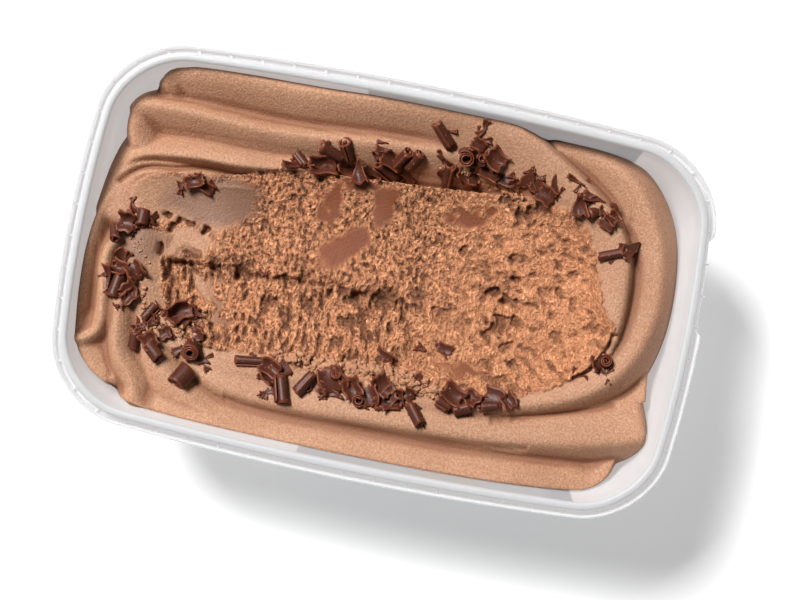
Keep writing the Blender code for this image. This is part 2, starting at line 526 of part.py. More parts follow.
def trench_floor(x, y):
    """Floor of the scraped trench: two pulls of the scoop side by side, and one at the right."""
    smear = SMEAR_SOFTNESS * np.logaddexp(0, (SMEAR_START_X - x) / SMEAR_SOFTNESS)
    upper = pass_floor(UPPER_PASS, y) + SMEAR_SLOPE * smear
    lower = pass_floor(LOWER_PASS, y) + LOWER_SMEAR_SLOPE * smear
    seam = PASS_SEAM_Y + SEAM_WANDER * (lumps(x, y, SEAM_WANDER_SIZE, 3) - 0.5)
    floor = lower + (upper - lower) * blend(-SEAM_HALF_WIDTH, SEAM_HALF_WIDTH, y - seam)
    right = blend(-RIGHT_PASS_HALF_WIDTH, RIGHT_PASS_HALF_WIDTH, x - RIGHT_PASS_X)
    end = RIGHT_END["rise"] * (np.maximum(x - RIGHT_END["x"], 0) / RIGHT_END["reach"]) ** 2
    floor = floor + (pass_floor(RIGHT_PASS, y) + end - floor) * right
    return floor + FLOOR_UNEVENNESS * (lumps(x, y, UNEVENNESS_SIZE, 8) - 0.5)


def surface(x, y):
    """Height of the ice cream below the lip's top, without its curls."""
    height = np.full(x.shape, DEEPEST_GAP)
    for fold in FOLDS.values():
        height = soft_max(height, fold_height(fold, x, y), MERGE_SOFTNESS)
    for points, half_width, depth in CLEFTS:
        apart, before, past, _ = from_path(smooth_path(points), x, y)
        height = height - depth * np.exp(-(apart ** 2 + 2 * (before + past)) / half_width ** 2)
    dent = ((x - DISH["x"]) / DISH["half_x"]) ** 2 + ((y - DISH["y"]) / DISH["half_y"]) ** 2
    height = height - DISH["depth"] * np.exp(-dent)
    closed_outline = TRENCH_OUTLINE + TRENCH_OUTLINE[:1]
    inside = from_path(smooth_path(closed_outline), x, y)[0]
    floor = trench_floor(x, y)
    wall = TRENCH_WALL_HEIGHT * np.exp(-np.maximum(inside, 0) / TRENCH_WALL_REACH)
    height = np.where(inside > 0, np.minimum(np.maximum(height, floor), floor + wall), height)
    apart = from_path(smooth_path(CRUMB_LIP), x, y)[0]
    crumb = np.exp(-(apart / CRUMB_LIP_WIDTH) ** 2) * lumps(x, y, CRUMB_SIZE, 5)
    return height + CRUMB_LIP_HEIGHT * crumb


def height_at(x, y):
    """The surface's height above the base, at one place."""
    return HEIGHT + float(surface(np.array([x], float), np.array([y], float))[0])


def make_relief_block(collection):
    """A block with the folds on top, reaching past the tub's wall on all sides."""
    half_x = LENGTH / 2 - BLOCK_INSET
    half_y = WIDTH / 2 - BLOCK_INSET
    working_mesh = bmesh.new()
    bmesh.ops.create_grid(working_mesh, x_segments=round(2 * half_x / GRID_STEP),
                          y_segments=round(2 * half_y / GRID_STEP), size=1.0)
    bmesh.ops.scale(working_mesh, vec=(half_x, half_y, 1), verts=working_mesh.verts)
    grown = bmesh.ops.extrude_face_region(working_mesh, geom=working_mesh.faces[:])
    top = [item for item in grown["geom"] if isinstance(item, bmesh.types.BMVert)]
    places = np.array([vert.co[:] for vert in top])
    heights = HEIGHT + surface(places[:, 0], places[:, 1])
    for vert, height in zip(top, heights):
        vert.co.z = height
    block = mesh_object("relief_block", working_mesh, collection)
    fewer = block.modifiers.new("fewer faces", "DECIMATE")
    fewer.ratio = SURFACE_SHARE
    return block


def make_cavity_core(collection):
    """What the tub can hold, a contact gap inside its wall and above its floor."""
    low = FLOOR_TOP + CONTACT_GAP
    profile = [
        (inner_inset(low) + BASE_ROUND + CONTACT_GAP, low),
        (inner_inset(low) + ARC_SHARE * BASE_ROUND + 1.5 * CONTACT_GAP, low + ARC_SHARE * BASE_ROUND),
        (inner_inset(low + BASE_ROUND) + CONTACT_GAP, low + BASE_ROUND),
        (inner_inset(HEIGHT - LIP_ROUND) + CONTACT_GAP, HEIGHT - LIP_ROUND)]
    core = loft("cavity_core", profile, collection)
    hide_cutter(core)
    return core


# Chocolate curls

def curl_roll(length, width):
    """A tight roll lying along X."""
    working_mesh = bmesh.new()
    bmesh.ops.create_cone(working_mesh, cap_ends=True, segments=CURL_SIDES, radius1=width / 2,
                          radius2=ROLL_TAPER * width / 2, depth=length,
                          matrix=Matrix.Rotation(math.radians(90.0), 4, "Y"))
    return working_mesh


def curl_scroll(length, width):
    """A roll standing on end, so that it is seen from above as a spiral."""
    working_mesh = bmesh.new()
    bmesh.ops.create_cone(working_mesh, cap_ends=True, segments=CURL_SIDES,
                          radius1=ROLL_TAPER * width / 2, radius2=width / 2, depth=length + width)
    return working_mesh


def curl_flake(length, width, point=1.0):
    """A curved shaving along X, whose far end narrows to the share that point gives."""
    working_mesh = bmesh.new()
    bmesh.ops.create_grid(working_mesh, x_segments=1, y_segments=FLAKE_STEPS, size=0.5)
    for vert in working_mesh.verts:
        share = vert.co.x + 0.5
        across = vert.co.y * width * (1 + (point - 1) * share)
        vert.co = Vector((vert.co.x * length, across, FLAKE_CURVE * across ** 2 / width))
    bmesh.ops.solidify(working_mesh, geom=working_mesh.faces[:], thickness=CURL_THICKNESS)
    return working_mesh


def curl_shard(length, width):
    """A shaving that runs out to a point."""
    return curl_flake(length, width, point=SHARD_POINT)


CURL_MAKERS = {"roll": curl_roll, "scroll": curl_scroll, "flake": curl_flake, "shard": curl_shard}
CURL_LIFT = {"roll": 0.28, "scroll": 0.1, "flake": 0.16, "shard": 0.14}


def make_curl(row, draw, number, collection):
    """One curl, laid on the surface between its two ends and tipped a little."""
    kind, x0, y0, x1, y1, width = row
    start = Vector((x0, y0, height_at(x0, y0)))
    end = Vector((x1, y1, height_at(x1, y1)))
    length = max((end - start).length, 1.0)
    direction = Vector((1, 0, 0)) if kind == "scroll" else (end - start).normalized()
    turned = direction.to_track_quat("X", "Z").to_matrix().to_4x4()
    tipped = Matrix.Rotation(draw.uniform(-MOST_TILT, MOST_TILT), 4, "X")
    raised = Vector((0, 0, CURL_LIFT[kind] * width))
    working_mesh = CURL_MAKERS[kind](length, width)
    placed = Matrix.Translation((start + end) / 2 + raised) @ turned @ tipped
    bmesh.ops.transform(working_mesh, matrix=placed, verts=working_mesh.verts)
    return mesh_object(f"curl_{number}", working_mesh, collection)


def keep_main_shell(made):
    """Deletes loose scraps and the skins of sealed hollows, which fusing can leave, and merges
    points that it left all but on top of each other."""
    working_mesh = bmesh.new()
    working_mesh.from_mesh(made.data)
    bmesh.ops.remove_doubles(working_mesh, verts=working_mesh.verts, dist=MERGE_DISTANCE * MM)
    shells = []
    unseen = set(working_mesh.faces)
    while unseen:
        shell = {unseen.pop()}
        front = list(shell)
        while front:
            for edge in front.pop().edges:
                if len(edge.link_faces) != 2:
                    continue
                for face in edge.link_faces:
                    if face in unseen:
                        unseen.discard(face)
                        shell.add(face)
                        front.append(face)
        shells.append(shell)
    largest = max(shells, key=len)
    scraps = [face for shell in shells if shell is not largest for face in shell]
    bmesh.ops.delete(working_mesh, geom=scraps, context="FACES")
    working_mesh.to_mesh(made.data)
    working_mesh.free()


def make_ice_cream(collection, cutters):
    """Folds trimmed to the tub's inside, with every curl fused on by one union."""
    block = make_relief_block(cutters)
    core = make_cavity_core(cutters)
    trim = block.modifiers.new("inside of the tub", "BOOLEAN")
    trim.operation = "INTERSECT"
    trim.object = core
    curls = bpy.data.collections.new("chocolate curls")
    bpy.context.scene.collection.children.link(curls)
    draw = random.Random(CURL_SEED)
    for number, row in enumerate(CURLS):
        make_curl(row, draw, number, curls)
    join = block.modifiers.new("curls fused on", "BOOLEAN")
    join.operation = "UNION"
    join.operand_type = "COLLECTION"
    join.collection = curls
    ice_cream = baked(block, "ice_cream", collection)
    keep_main_shell(ice_cream)
    ice_cream.data.materials.clear()
    ice_cream.data.materials.append(plain_material("ice_cream", ICE_COLOUR, ICE_ROUGHNESS))
    for spent in list(curls.objects) + [block, core]:
        bpy.data.objects.remove(spent, do_unlink=True)
    bpy.data.collections.remove(curls)
    return ice_cream


def main():
    """Builds the tub and its contents."""
    for old in list(bpy.data.objects):
        bpy.data.objects.remove(old, do_unlink=True)
    model = bpy.data.collections.new("ice cream tub")
    cutters = bpy.data.collections.new("cutters")
    for made in (model, cutters):
        bpy.context.scene.collection.children.link(made)
    make_tub(model, cutters)
    make_ice_cream(model, cutters)


main()
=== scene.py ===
"""Looks of the ice cream tub: fine folds, scraped grain, rolled curls and the moulded plastic."""
import math
import random

import bmesh
import bpy
import numpy as np
from mathutils import Matrix, Vector


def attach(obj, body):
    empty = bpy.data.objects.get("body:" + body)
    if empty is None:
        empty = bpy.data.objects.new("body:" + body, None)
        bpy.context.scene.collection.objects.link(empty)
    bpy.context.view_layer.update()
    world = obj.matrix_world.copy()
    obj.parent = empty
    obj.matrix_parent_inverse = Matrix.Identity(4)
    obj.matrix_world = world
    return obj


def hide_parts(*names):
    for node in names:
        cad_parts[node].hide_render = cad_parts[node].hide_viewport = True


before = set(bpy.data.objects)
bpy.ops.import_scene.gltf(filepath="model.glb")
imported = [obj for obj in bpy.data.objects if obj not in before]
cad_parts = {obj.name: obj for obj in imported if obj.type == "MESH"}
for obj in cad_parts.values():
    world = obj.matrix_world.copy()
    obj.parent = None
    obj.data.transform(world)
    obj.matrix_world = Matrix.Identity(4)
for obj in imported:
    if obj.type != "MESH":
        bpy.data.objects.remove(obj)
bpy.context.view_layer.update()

MM = 0.001

# Driving sizes of the tub, in millimetres, as in the part's source
LENGTH = 190.0
WIDTH = 119.4
HEIGHT = 72.0
CORNER_RADIUS = 22.5
CORNER_TIGHTENING = 0.55
LONG_SIDE_BOW = 4.05
SHORT_SIDE_BOW = 4.69
DRAFT = math.tan(math.radians(6.0))
FENCE_WALL = 0.8
CHANNEL_WIDTH = 1.8
LIP_WIDTH = 2.8
FENCE_DROP = 2.6
CHANNEL_DROP = 5.4
FLANGE_THICKNESS = 1.2
SKIRT_DROP = 10.0
LIP_ROUND = 1.2
LIP_INNER_INSET = FENCE_WALL + CHANNEL_WIDTH + LIP_WIDTH
WALL = 1.15
FOOT_WIDTH = 3.0
FOOT_HEIGHT = 1.2
FLOOR_THICKNESS = 1.4
BASE_ROUND = 3.0
FLOOR_TOP = FOOT_HEIGHT + FLOOR_THICKNESS
GAP_START_Y = 3.6
GAP_END_Y = 31.0
GAP_DEPTH = 1.3
GAP_CHAMFER = 1.2
CONTACT_GAP = 0.3

# Fineness of the meshes
LONG_STEPS = 34
CORNER_STEPS = 22
SHORT_STEPS = 26
FINE_STEP = 0.37
COARSE_STEP = 0.86
LEAST_COARSE_STEPS = 2
FINE_X = (-68.0, 70.0)
FINE_Y = (-33.0, 34.0)
SPLINE_STEPS = 6

# Corners of the tub's profile, and how the ice cream meets the wall: how far below the lip's top its
# plan is drawn, how far above that its edge still leans out, and its sole's share of its foot
PROFILE_ROUND = 0.45
MEETING_DROP = 6.0
HIGHEST_ABOVE_MEETING = 3.0
SOLE_SHARE = (0.96, 0.95)

# How folds fall away and merge
SHARPNESS_BEYOND_FOLD = 0.6
MERGE_SOFTNESS = 0.35
DEEPEST_GAP = -34.0

# Folds of ice cream.  A crest runs through (x, y, z) with z below the lip's top; left and right of
# its direction the fold falls by so much within so much, a low edge value is a sharp crest, and
# ends says how round its start and its finish are.
FOLDS = {
    "back ribbon": {
        "crest": [(-76, 45.5, -7.6), (-72.5, 49.6, -5.8), (-60, 51.6, -4.8), (-30, 51.6, -4.4),
                  (-10, 53, -4.4), (5, 53.6, -4.6), (18, 53.2, -5), (28, 52, -6)],
        "left": (2.2, 3.6), "right": (10.4, 7.6), "edge": 0.4, "ends": (1.0, 0.2)},
    "ring": {
        "crest": [(-28, 51.4, -13), (-12, 52.4, -10), (4, 53.4, -7.2), (16, 53.6, -5.4),
                  (27, 52.8, -4.6), (36, 49.6, -4.6), (46, 44.4, -5), (55.5, 38.2, -5.3),
                  (62.5, 32.6, -5.8), (67.4, 26, -6.2), (70.3, 18.5, -6.5), (71.2, 9, -6.8),
                  (71.2, 1, -7.1), (70, -6, -7.6), (67, -12, -8.6), (62, -17.5, -10)],
        "left": (2.8, 5.6), "right": (10.0, 4.4), "edge": 0.6, "ends": (0.1, 0.2)},
    "second ribbon": {
        "crest": [(-83.6, 36, -9), (-80, 38.2, -8), (-70, 38.5, -7.2), (-60, 38.2, -7),
                  (-50, 37.7, -7), (-40, 37.6, -7.1), (-30, 38.2, -7.3), (-20, 39.3, -7.5),
                  (-10, 40.3, -7.8), (0, 41.0, -8.2), (9, 41.6, -8.8), (18, 41.6, -10.6)],
        "left": (3.6, 4.2), "right": (7.0, 5.4), "edge": 0.3, "ends": (1.0, 0.1)},
    "second ribbon's end": {
        "crest": [(-81.5, 39.5, -9), (-83.2, 35, -8.8), (-83, 30, -9), (-81, 25.5, -9.6)],
        "left": (5.0, 2.6), "right": (2.4, 4.0), "edge": 0.7, "ends": (0.8, 0.8)},
    "third ribbon": {
        "crest": [(-83.8, 17.5, -12), (-82, 20.4, -10.2), (-79, 22.6, -9.2), (-75, 23.9, -8.8),
                  (-68, 24.9, -8.4), (-60, 25.6, -8.2), (-50, 25.7, -8.3), (-40, 26.7, -8.9),
                  (-34, 27.8, -9.5), (-24, 29.4, -10.8)],
        "left": (6.0, 4.8), "right": (2.4, 4.4), "edge": 0.45, "ends": (1.0, 0.1)},
    "shallow dish": {
        "crest": [(-86, 5, -7.8), (-84, 11.5, -9.2), (-80, 16.5, -9.9), (-73, 18.6, -10.3),
                  (-62, 19, -10.9), (-52, 18.5, -11.8), (-42, 17, -12.8)],
        "left": (6.0, 2.2), "right": (9.0, 1.4), "edge": 1.0, "ends": (0.3, 0.1)},
    "wall roll, left": {
        "crest": [(-85.4, 10, -8.8), (-87.6, 2, -6.6), (-88.6, -10, -5.4), (-89, -20, -5),
                  (-89, -28, -5.2), (-88, -34, -6.4)],
        "left": (3.4, 4.2), "right": (1.6, 4.0), "edge": 0.6, "ends": (0.3, 0.3)},
    "trough's inner crest, left": {
        "crest": [(-79, 3, -7.6), (-80.4, -3, -7), (-82.4, -8, -6.6), (-82.3, -13, -6.4),
                  (-81, -20, -6.2), (-80.2, -27, -6), (-81.3, -31.6, -6), (-84.4, -34.2, -6),
                  (-87.5, -35, -6)],
        "left": (2.6, 4.0), "right": (4.0, 4.4), "edge": 0.5, "ends": (0.2, 0.3)},
    "corner lobe": {
        "crest": [(-88.5, -31, -7.4), (-86, -37, -7.8), (-81.5, -42.6, -8.6), (-76, -46, -9.6)],
        "left": (7.5, 3.0), "right": (1.6, 4.0), "edge": 0.7, "ends": (0.2, 0.5)},
    "second crest, left": {
        "crest": [(-78.2, -15, -8.4), (-76.8, -20, -7.2), (-75.9, -25, -6.8), (-75.3, -31, -6.6),
                  (-73.6, -37, -6.8), (-70.4, -41.2, -7), (-67.8, -44.6, -7.2),
                  (-66.7, -48.5, -7.4), (-66.6, -53, -7.8)],
        "left": (5.5, 5.0), "right": (4.2, 4.0), "edge": 0.35, "ends": (0.2, 0.2)},
    "third crest, left": {
        "crest": [(-69, -24, -10), (-65.5, -29.5, -8.8), (-62, -34.5, -8.3), (-58.5, -39.5, -8.2),
                  (-55, -43, -8.4), (-49, -46.4, -8.9), (-43, -49.6, -9.6)],
        "left": (5.0, 3.6), "right": (8.0, 3.4), "edge": 0.45, "ends": (0.2, 0.1)},
    "front ribbon": {
        "crest": [(-66, -52.2, -8.8), (-45, -53.4, -8.2), (-30, -54, -8.8), (0, -54, -9.2),
                  (30, -53.2, -9.2), (50, -52, -10), (65, -51, -12), (73, -49.4, -13.6),
                  (78, -45, -15), (79.5, -39, -16)],
        "left": (9.0, 4.2), "right": (1.6, 3.4), "edge": 0.8, "ends": (0.2, 0.6)},
    "front ring": {
        "crest": [(-54, -34.5, -11.4), (-47, -38.6, -10.2), (-40, -41, -9.4), (-30, -42, -8.9),
                  (-20, -42, -8.5), (-10, -41.6, -8.2), (0, -41.2, -8), (15, -40.8, -8),
                  (30, -40.4, -8.2), (45, -39.2, -8.4), (60, -37, -8.6), (70, -34.9, -8.8),
                  (79, -32.7, -9.2), (85.2, -30.6, -9.8)],
        "left": (8.5, 3.6), "right": (6.0, 6.6), "edge": 0.5, "ends": (0.1, 1.0)},
    "outer ribbon, right": {
        "crest": [(44, 49.5, -10.4), (56, 48.6, -9.4), (64, 45.6, -8.8), (70, 40.6, -8.5),
                  (75.2, 33.4, -8.3), (78.8, 25.4, -8.3), (80.8, 16, -8.4), (81.2, 7, -8.5),
                  (79.8, -1, -8.6), (77, -8.4, -8.6), (73, -14.6, -8.5), (68, -19.2, -8.4),
                  (60.5, -23.6, -8.3), (52, -26.8, -8.4), (43, -29.4, -8.8), (33, -31.8, -9.6),
                  (22, -33.8, -11)],
        "left": (5.2, 5.4), "right": (7.6, 4.6), "edge": 0.45, "ends": (0.3, 0.1)},
    "lowest ribbon, right": {
        "crest": [(63, 47.5, -14.5), (74, 41.2, -15), (79, 33, -16), (81.6, 22, -17),
                  (83.4, 12, -18.4), (84.2, 0, -19), (84.6, -12, -18.6), (85, -20, -15.4)],
        "left": (1.3, 4.0), "right": (6.0, 1.5), "edge": 0.7, "ends": (0.3, 0.8)},
    "shelf under the front curls": {
        "crest": [(-44, -32.5, -11.2), (-32, -33, -10.8), (-10, -33.2, -10.4), (10, -33, -10.2),
                  (28, -32, -10)],
        "left": (6.0, 1.6), "right": (6.0, 2.4), "edge": 1.0, "ends": (0.1, 0.1)},
    "ledge round the trench": {
        "crest": [(-76, 8, -8.9), (-75.5, 0, -8), (-74.5, -8, -8.2), (-73, -16, -8.7),
                  (-69.5, -24, -9.3), (-62, -30, -10), (-54, -33, -10.6), (-44, -35, -11),
                  (-30, -36.5, -11.4)],
        "left": (6.5, 1.6), "right": (5.0, 3.0), "edge": 1.0, "ends": (0.3, 0.2)},
}
END_REACH = 2.6
END_FALL = 3.2

# Narrow dark clefts between folds: a path, then half width and depth
CLEFTS = [
    ([(-84, 14), (-80, 18), (-75, 20.2), (-68, 21.2), (-60, 22.9), (-52, 23.2), (-46.5, 22.8)], 0.8, 2.0),
    ([(-82.8, -12), (-80.3, -20), (-79, -28), (-77.4, -36), (-75.5, -43), (-74.5, -47)], 0.8, 0.8),
    ([(40, -34.5), (50, -31.5), (60, -28.5), (70, -25.5), (76, -23)], 0.9, 1.2),
    ([(-40, -43.6), (-30, -44.8), (-10, -44.6), (20, -43.6), (40, -42.2), (52, -40.6)], 0.9, 1.0),
    ([(-18, 31), (-12, 31.6), (-6, 32), (0, 32.2)], 1.4, 1.4),
    ([(61.4, -17.4), (65.4, -14.2), (69, -8.4), (70.6, -2)], 0.7, 2.4),
]

# The scraped trench: its outline, anticlockwise, and its floor
TRENCH_OUTLINE = [
    (-45, -30), (-37, -29.2), (-22, -29.2), (0, -28.6), (20, -28), (40, -27), (47, -25.5), (57, -20.8),
    (61.4, -17.4), (65.2, -14), (68.6, -8.4), (70.2, -2), (69, 1.6), (66.4, 4.6), (65, 8),
    (63.8, 12), (60, 21.5), (55, 28), (48, 32), (38, 33), (24, 32), (10, 30.8), (-5, 29.8),
    (-20, 28.8), (-30, 28), (-38, 26.6), (-47, 23.4), (-60, 21.2), (-72, 19), (-79, 14), (-79, 7),
    (-72, 2.5), (-67.6, -1), (-67, -8), (-65.6, -14), (-63, -20), (-58, -27), (-52, -29)]
TRENCH_WALL_HEIGHT = 8.0
TRENCH_WALL_REACH = 1.2
UPPER_PASS = {"middle": 6.0, "half": 24.0, "floor": -16.4, "rise": 7.0}
LOWER_PASS = {"middle": -11.0, "half": 18.0, "floor": -17.4, "rise": 4.8}
RIGHT_PASS = {"middle": 0.0, "half": 30.0, "floor": -16.8, "rise": 6.0}
RIGHT_END = {"x": 50.0, "reach": 18.0, "rise": 5.0}
PASS_SEAM_Y = -4.5
SEAM_HALF_WIDTH = 1.4
SEAM_WANDER = 3.0
SEAM_WANDER_SIZE = 5.0
RIGHT_PASS_X = 12.0
RIGHT_PASS_HALF_WIDTH = 7.0
SMEAR_START_X = -38.0
SMEAR_SLOPE = 0.17
LOWER_SMEAR_SLOPE = 0.13
SMEAR_SOFTNESS = 7.0
FLOOR_UNEVENNESS = 1.4
UNEVENNESS_SIZE = 13.0

# The crumbly lip pushed up along the trench's lower edge
CRUMB_LIP = [(-24, -27, 0), (-10, -26, 0), (0, -26.4, 0), (10, -25.4, 0), (24, -26.4, 0)]
CRUMB_LIP_WIDTH = 3.6
CRUMB_LIP_HEIGHT = 3.6
CRUMB_SIZE = 3.0

# A shallow dent in the fold at the trench's left end
DISH = {"x": -77.0, "y": 16.2, "half_x": 5.0, "half_y": 2.4, "depth": 1.1}

# Places of the curls
CURLS = [
    ("shard", -36.5, 28.2, -27, 29.6, 1.8), ("roll", -33, 32.5, -29.5, 29.5, 2.6),
    ("flake", -29, 30, -21, 31.5, 4.4), ("roll", -26, 36, -19, 33.6, 3.2),
    ("roll", -19, 38.5, -16.5, 33.5, 3.4), ("flake", -20.5, 32, -14, 30.5, 3.4),
    ("shard", -12, 27.6, -14.5, 35, 5.5), ("shard", -13, 32.5, -6.5, 30.8, 3.0),
    ("roll", -8.6, 34.4, -2.5, 31.4, 3.6), ("flake", -8, 36.8, -2, 35, 3.8),
    ("shard", -10, 38.3, -5, 38.5, 2.0), ("roll", -3.5, 34.5, 0, 39.5, 3.0),
    ("roll", 1, 35, 3.8, 39.5, 3.4), ("shard", -1, 34, 4, 31, 2.2), ("roll", 6.5, 49.2, 12, 43.8, 3.2),
    ("shard", 19, 48, 21.5, 50.5, 1.6), ("flake", 18, 46.5, 22, 44.5, 3.0),
    ("scroll", 17, 41.3, 17.3, 41.5, 4.4), ("scroll", 22, 41.6, 22, 42, 3.2),
    ("flake", 23, 44, 28, 40.5, 4.8), ("flake", 18.5, 44.5, 21, 40, 4.0), ("flake", 22, 38.8, 28, 37, 4.0),
    ("roll", 12.8, 32, 13, 38, 3.0), ("shard", 13.5, 37.5, 10, 40, 2.0), ("flake", 15, 36.4, 21, 35, 3.2),
    ("shard", 19.5, 36, 22.5, 33.2, 3.0), ("flake", 27.5, 37.2, 33, 36.6, 3.0),
    ("shard", 32, 37.8, 34.5, 34.5, 3.0), ("shard", 36.5, 35.5, 37, 41.5, 5.5),
    ("flake", 38, 38, 40.5, 36, 3.6), ("flake", 40, 36, 45, 33.5, 4.4),
    ("shard", 45.2, 33, 43.8, 41.5, 2.8), ("shard", 47.5, 41.5, 53, 39.4, 1.2),
    ("shard", 54, 31, 52, 37, 5.2), ("shard", 53, 36.5, 60, 36, 3.2), ("roll", 56, 31.3, 63.8, 35, 3.0),
    ("flake", 60, 31.5, 64, 29, 3.6), ("flake", 61.5, 33, 64.5, 30.5, 3.0),
    ("roll", 61.6, 20, 68.5, 22.8, 2.6), ("shard", 67.5, 22, 73, 26, 4.6),
    ("scroll", 69.4, -10, 69.9, -10.4, 3.6), ("flake", 66.5, -9, 69, -13, 3.8),
    ("shard", 68.5, -13, 72.5, -17, 2.6), ("shard", 66, -13, 61, -17, 1.3),
    ("flake", -64, 16.6, -58.5, 19.5, 3.2), ("flake", -60, 18.5, -55.5, 16.4, 2.6),
    ("shard", -65, 15.2, -66.5, 17.5, 1.4), ("shard", -77, 5.5, -78.8, 9, 2.2),
    ("flake", -81, 3, -76, 2.5, 5.0), ("roll", -82.3, 1, -80.7, -3.4, 2.6),
    ("roll", -74.4, 6.8, -74.2, 2, 3.2), ("shard", -73, 4.5, -70, 3.2, 2.0),
    ("flake", -78, 1.2, -75.5, 0, 2.5), ("flake", -79.5, -9.5, -77.5, -6, 3.6),
    ("flake", -80, -11.3, -76, -12.5, 3.6), ("flake", -75, -9.5, -71, -13.5, 4.2),
    ("roll", -77.6, -13.5, -78.5, -20.5, 3.4), ("shard", -81.5, -11, -80, -18.5, 2.2),
    ("shard", -75.2, -15.4, -71, -18.8, 4.8), ("flake", -75, -21.2, -72.2, -17.8, 3.0),
    ("shard", -75, -19, -74.6, -23.5, 2.0), ("roll", -68, -25, -65.5, -20.5, 2.8),
    ("flake", -67.5, -26, -65, -24, 3.0), ("shard", -70.5, -29, -67, -26.5, 3.0),
    ("roll", -69.5, -34.5, -69.5, -29.5, 3.4), ("flake", -66.5, -29.2, -63, -33, 4.0),
    ("roll", -65.5, -32, -61, -35.8, 3.6), ("flake", -62, -23, -56.5, -18.5, 4.6),
    ("shard", -63, -21.5, -58, -23, 3.0), ("flake", -59, -24.5, -55.5, -22.5, 3.0),
    ("shard", -55.5, -20, -50.5, -21.5, 2.0), ("flake", -53, -26, -50, -28, 4.0),
    ("flake", -62, -26.5, -60, -29.5, 3.0), ("scroll", -52, -31.2, -52.3, -31.4, 4.4),
    ("flake", -54.5, -30, -51, -33.5, 4.6), ("shard", -50, -33.8, -46.5, -34.2, 2.4),
    ("shard", -58, -33.5, -53, -30.5, 2.6), ("roll", -52, -37, -54.8, -42, 5.0),
    ("roll", -39, -31.8, -30, -30.6, 2.4), ("flake", -31, -31, -25, -33, 4.0),
    ("flake", -27, -29.5, -22.5, -33.5, 3.5), ("shard", -24.5, -28.3, -23, -31, 2.0),
    ("flake", -30, -33.5, -26, -36.5, 3.2), ("shard", -24.5, -38, -30, -41, 1.8),
    ("roll", -24.5, -34, -22, -41.5, 4.0), ("roll", -19, -37.5, -15, -31, 3.4),
    ("flake", -12, -29, -8, -35.5, 5.0), ("flake", -10, -28.5, -5, -34, 4.5),
    ("scroll", -8.5, -30.4, -8.2, -30.8, 3.0), ("shard", -12.5, -34.5, -5, -36.5, 3.0),
    ("flake", -4.5, -30.5, -1, -35.5, 4.5), ("shard", -4.5, -32, 1, -33, 3.0),
    ("scroll", -0.3, -35.6, 0, -35.9, 3.2), ("flake", 2, -31.5, 4.5, -37, 4.5),
    ("flake", 3.5, -28, 8.5, -33, 4.4), ("flake", 6, -36.5, 10, -32, 4.2),
    ("roll", 5, -36.8, 12, -35.6, 2.2), ("shard", 11, -31, 13, -35.5, 3.0),
    ("flake", 12.5, -30.5, 16, -32, 3.5), ("shard", 15, -25.5, 18.5, -28, 3.0),
    ("roll", 15.5, -34.5, 19.5, -39.5, 3.4), ("shard", 14.5, -34, 21, -40.5, 2.0),
    ("flake", 24, -27.5, 30, -30.5, 4.5), ("roll", 23, -31.5, 27, -33, 3.2),
    ("roll", 28.8, -33.5, 33, -31.5, 3.2), ("flake", 31, -28, 35, -30.5, 3.6),
    ("shard", 33.5, -29, 37, -31.5, 3.0), ("flake", 36.5, -26.6, 42, -28, 4.6),
    ("roll", 41, -29.5, 36.5, -30.8, 2.4), ("flake", 42.5, -25.8, 45.5, -29.5, 3.6),
    ("flake", 2, -20.6, 7.5, -23, 2.6), ("flake", 20, -15.8, 24.6, -16.6, 2.6),
    ("shard", 14, -17, 16.6, -18, 2.0)]
CURL_SEED = 7
MOST_TILT = math.radians(24.0)
CURL_THICKNESS = 0.40
CURL_BREADTH = 1.22
CURL_LIFT = {"roll": 0.30, "scroll": 0.25, "flake": 0.20, "shard": 0.18}
LEAST_CURL_LENGTH = 1.0
ROLL_TURNS = (1.5, 2.4)
SCROLL_TURNS = (1.7, 2.6)
SHARD_POINT = 0.08
SPLINTERS_EACH = 2
SPLINTER_SPREAD = 2.4
SPLINTER_SIZE = (0.7, 1.9)

# Ribs across the lid channel
RIB_PITCH = 9.6
RIB_WIDTH = 0.55
RIB_HEIGHT = 1.4
RIB_OVERLAP = 0.1
RIB_SINK = 0.2

# Light
KEY_PLACE = (-0.66, 0.57, 1.34)
KEY_AIM = (0, 0, 0.05)
KEY_SIZE = 0.46
KEY_POWER = 43.5
SKY_STRENGTH = 0.09
FLOOR_GLOW = 0.38
FLOOR_HALF = 3.0

# Camera, from the photograph's frame
IMAGE_WIDTH_PX = 786.0
FOCAL_PX = 1600.0
SENSOR_MM = 36.0
CAMERA_YAW = -0.19842
CAMERA_TILT = (0.00789, 0.02384)
CAMERA_OFFSET = (-3.212, -5.528, 471.728)

# Chocolate ice cream colours, linear
RIBBON = (0.46, 0.250, 0.148, 1)
RIBBON_DARK = (0.25, 0.105, 0.052, 1)
SPECK_LIGHT = (0.74, 0.50, 0.35, 1)
POLISHED = (0.190, 0.052, 0.018, 1)
SCRAPED = (0.89, 0.400, 0.198, 1)
SCRAPED_DARK = (0.41, 0.132, 0.048, 1)
# Painted shade for the creases between folds
CREASE_SHADE = (0.20, 0.075, 0.035, 1)
SMEAR = (0.200, 0.106, 0.070, 1)
# Painted shade for pits, cracks, holes and the gaps between grains
PIT_SHADE = (0.085, 0.022, 0.008, 1)
CHOCOLATE = (0.070, 0.019, 0.010, 1)
# Painted light: lighter, redder thin edges of the curls, as if lit through
CHOCOLATE_EDGE_GLOW = (0.20, 0.050, 0.022, 1)
CHOCOLATE_BLOOM = (0.26, 0.15, 0.11, 1)
PLASTIC = (0.31, 0.31, 0.315, 1)
PLASTIC_GREY = (0.27, 0.27, 0.275, 1)
LIGHT_THROUGH = (0.46, 0.445, 0.44, 1)
PRINT_BLUE = (0.20, 0.225, 0.255, 1)
PRINT_OLIVE = (0.20, 0.20, 0.155, 1)
PRINT_DEEP = (0.115, 0.140, 0.205, 1)
PRINT_GLOW = (0.10, 0.11, 0.12, 1)
PRINT_SEEN_INSIDE = 0.55
PLASTIC_GLOW = 0.90

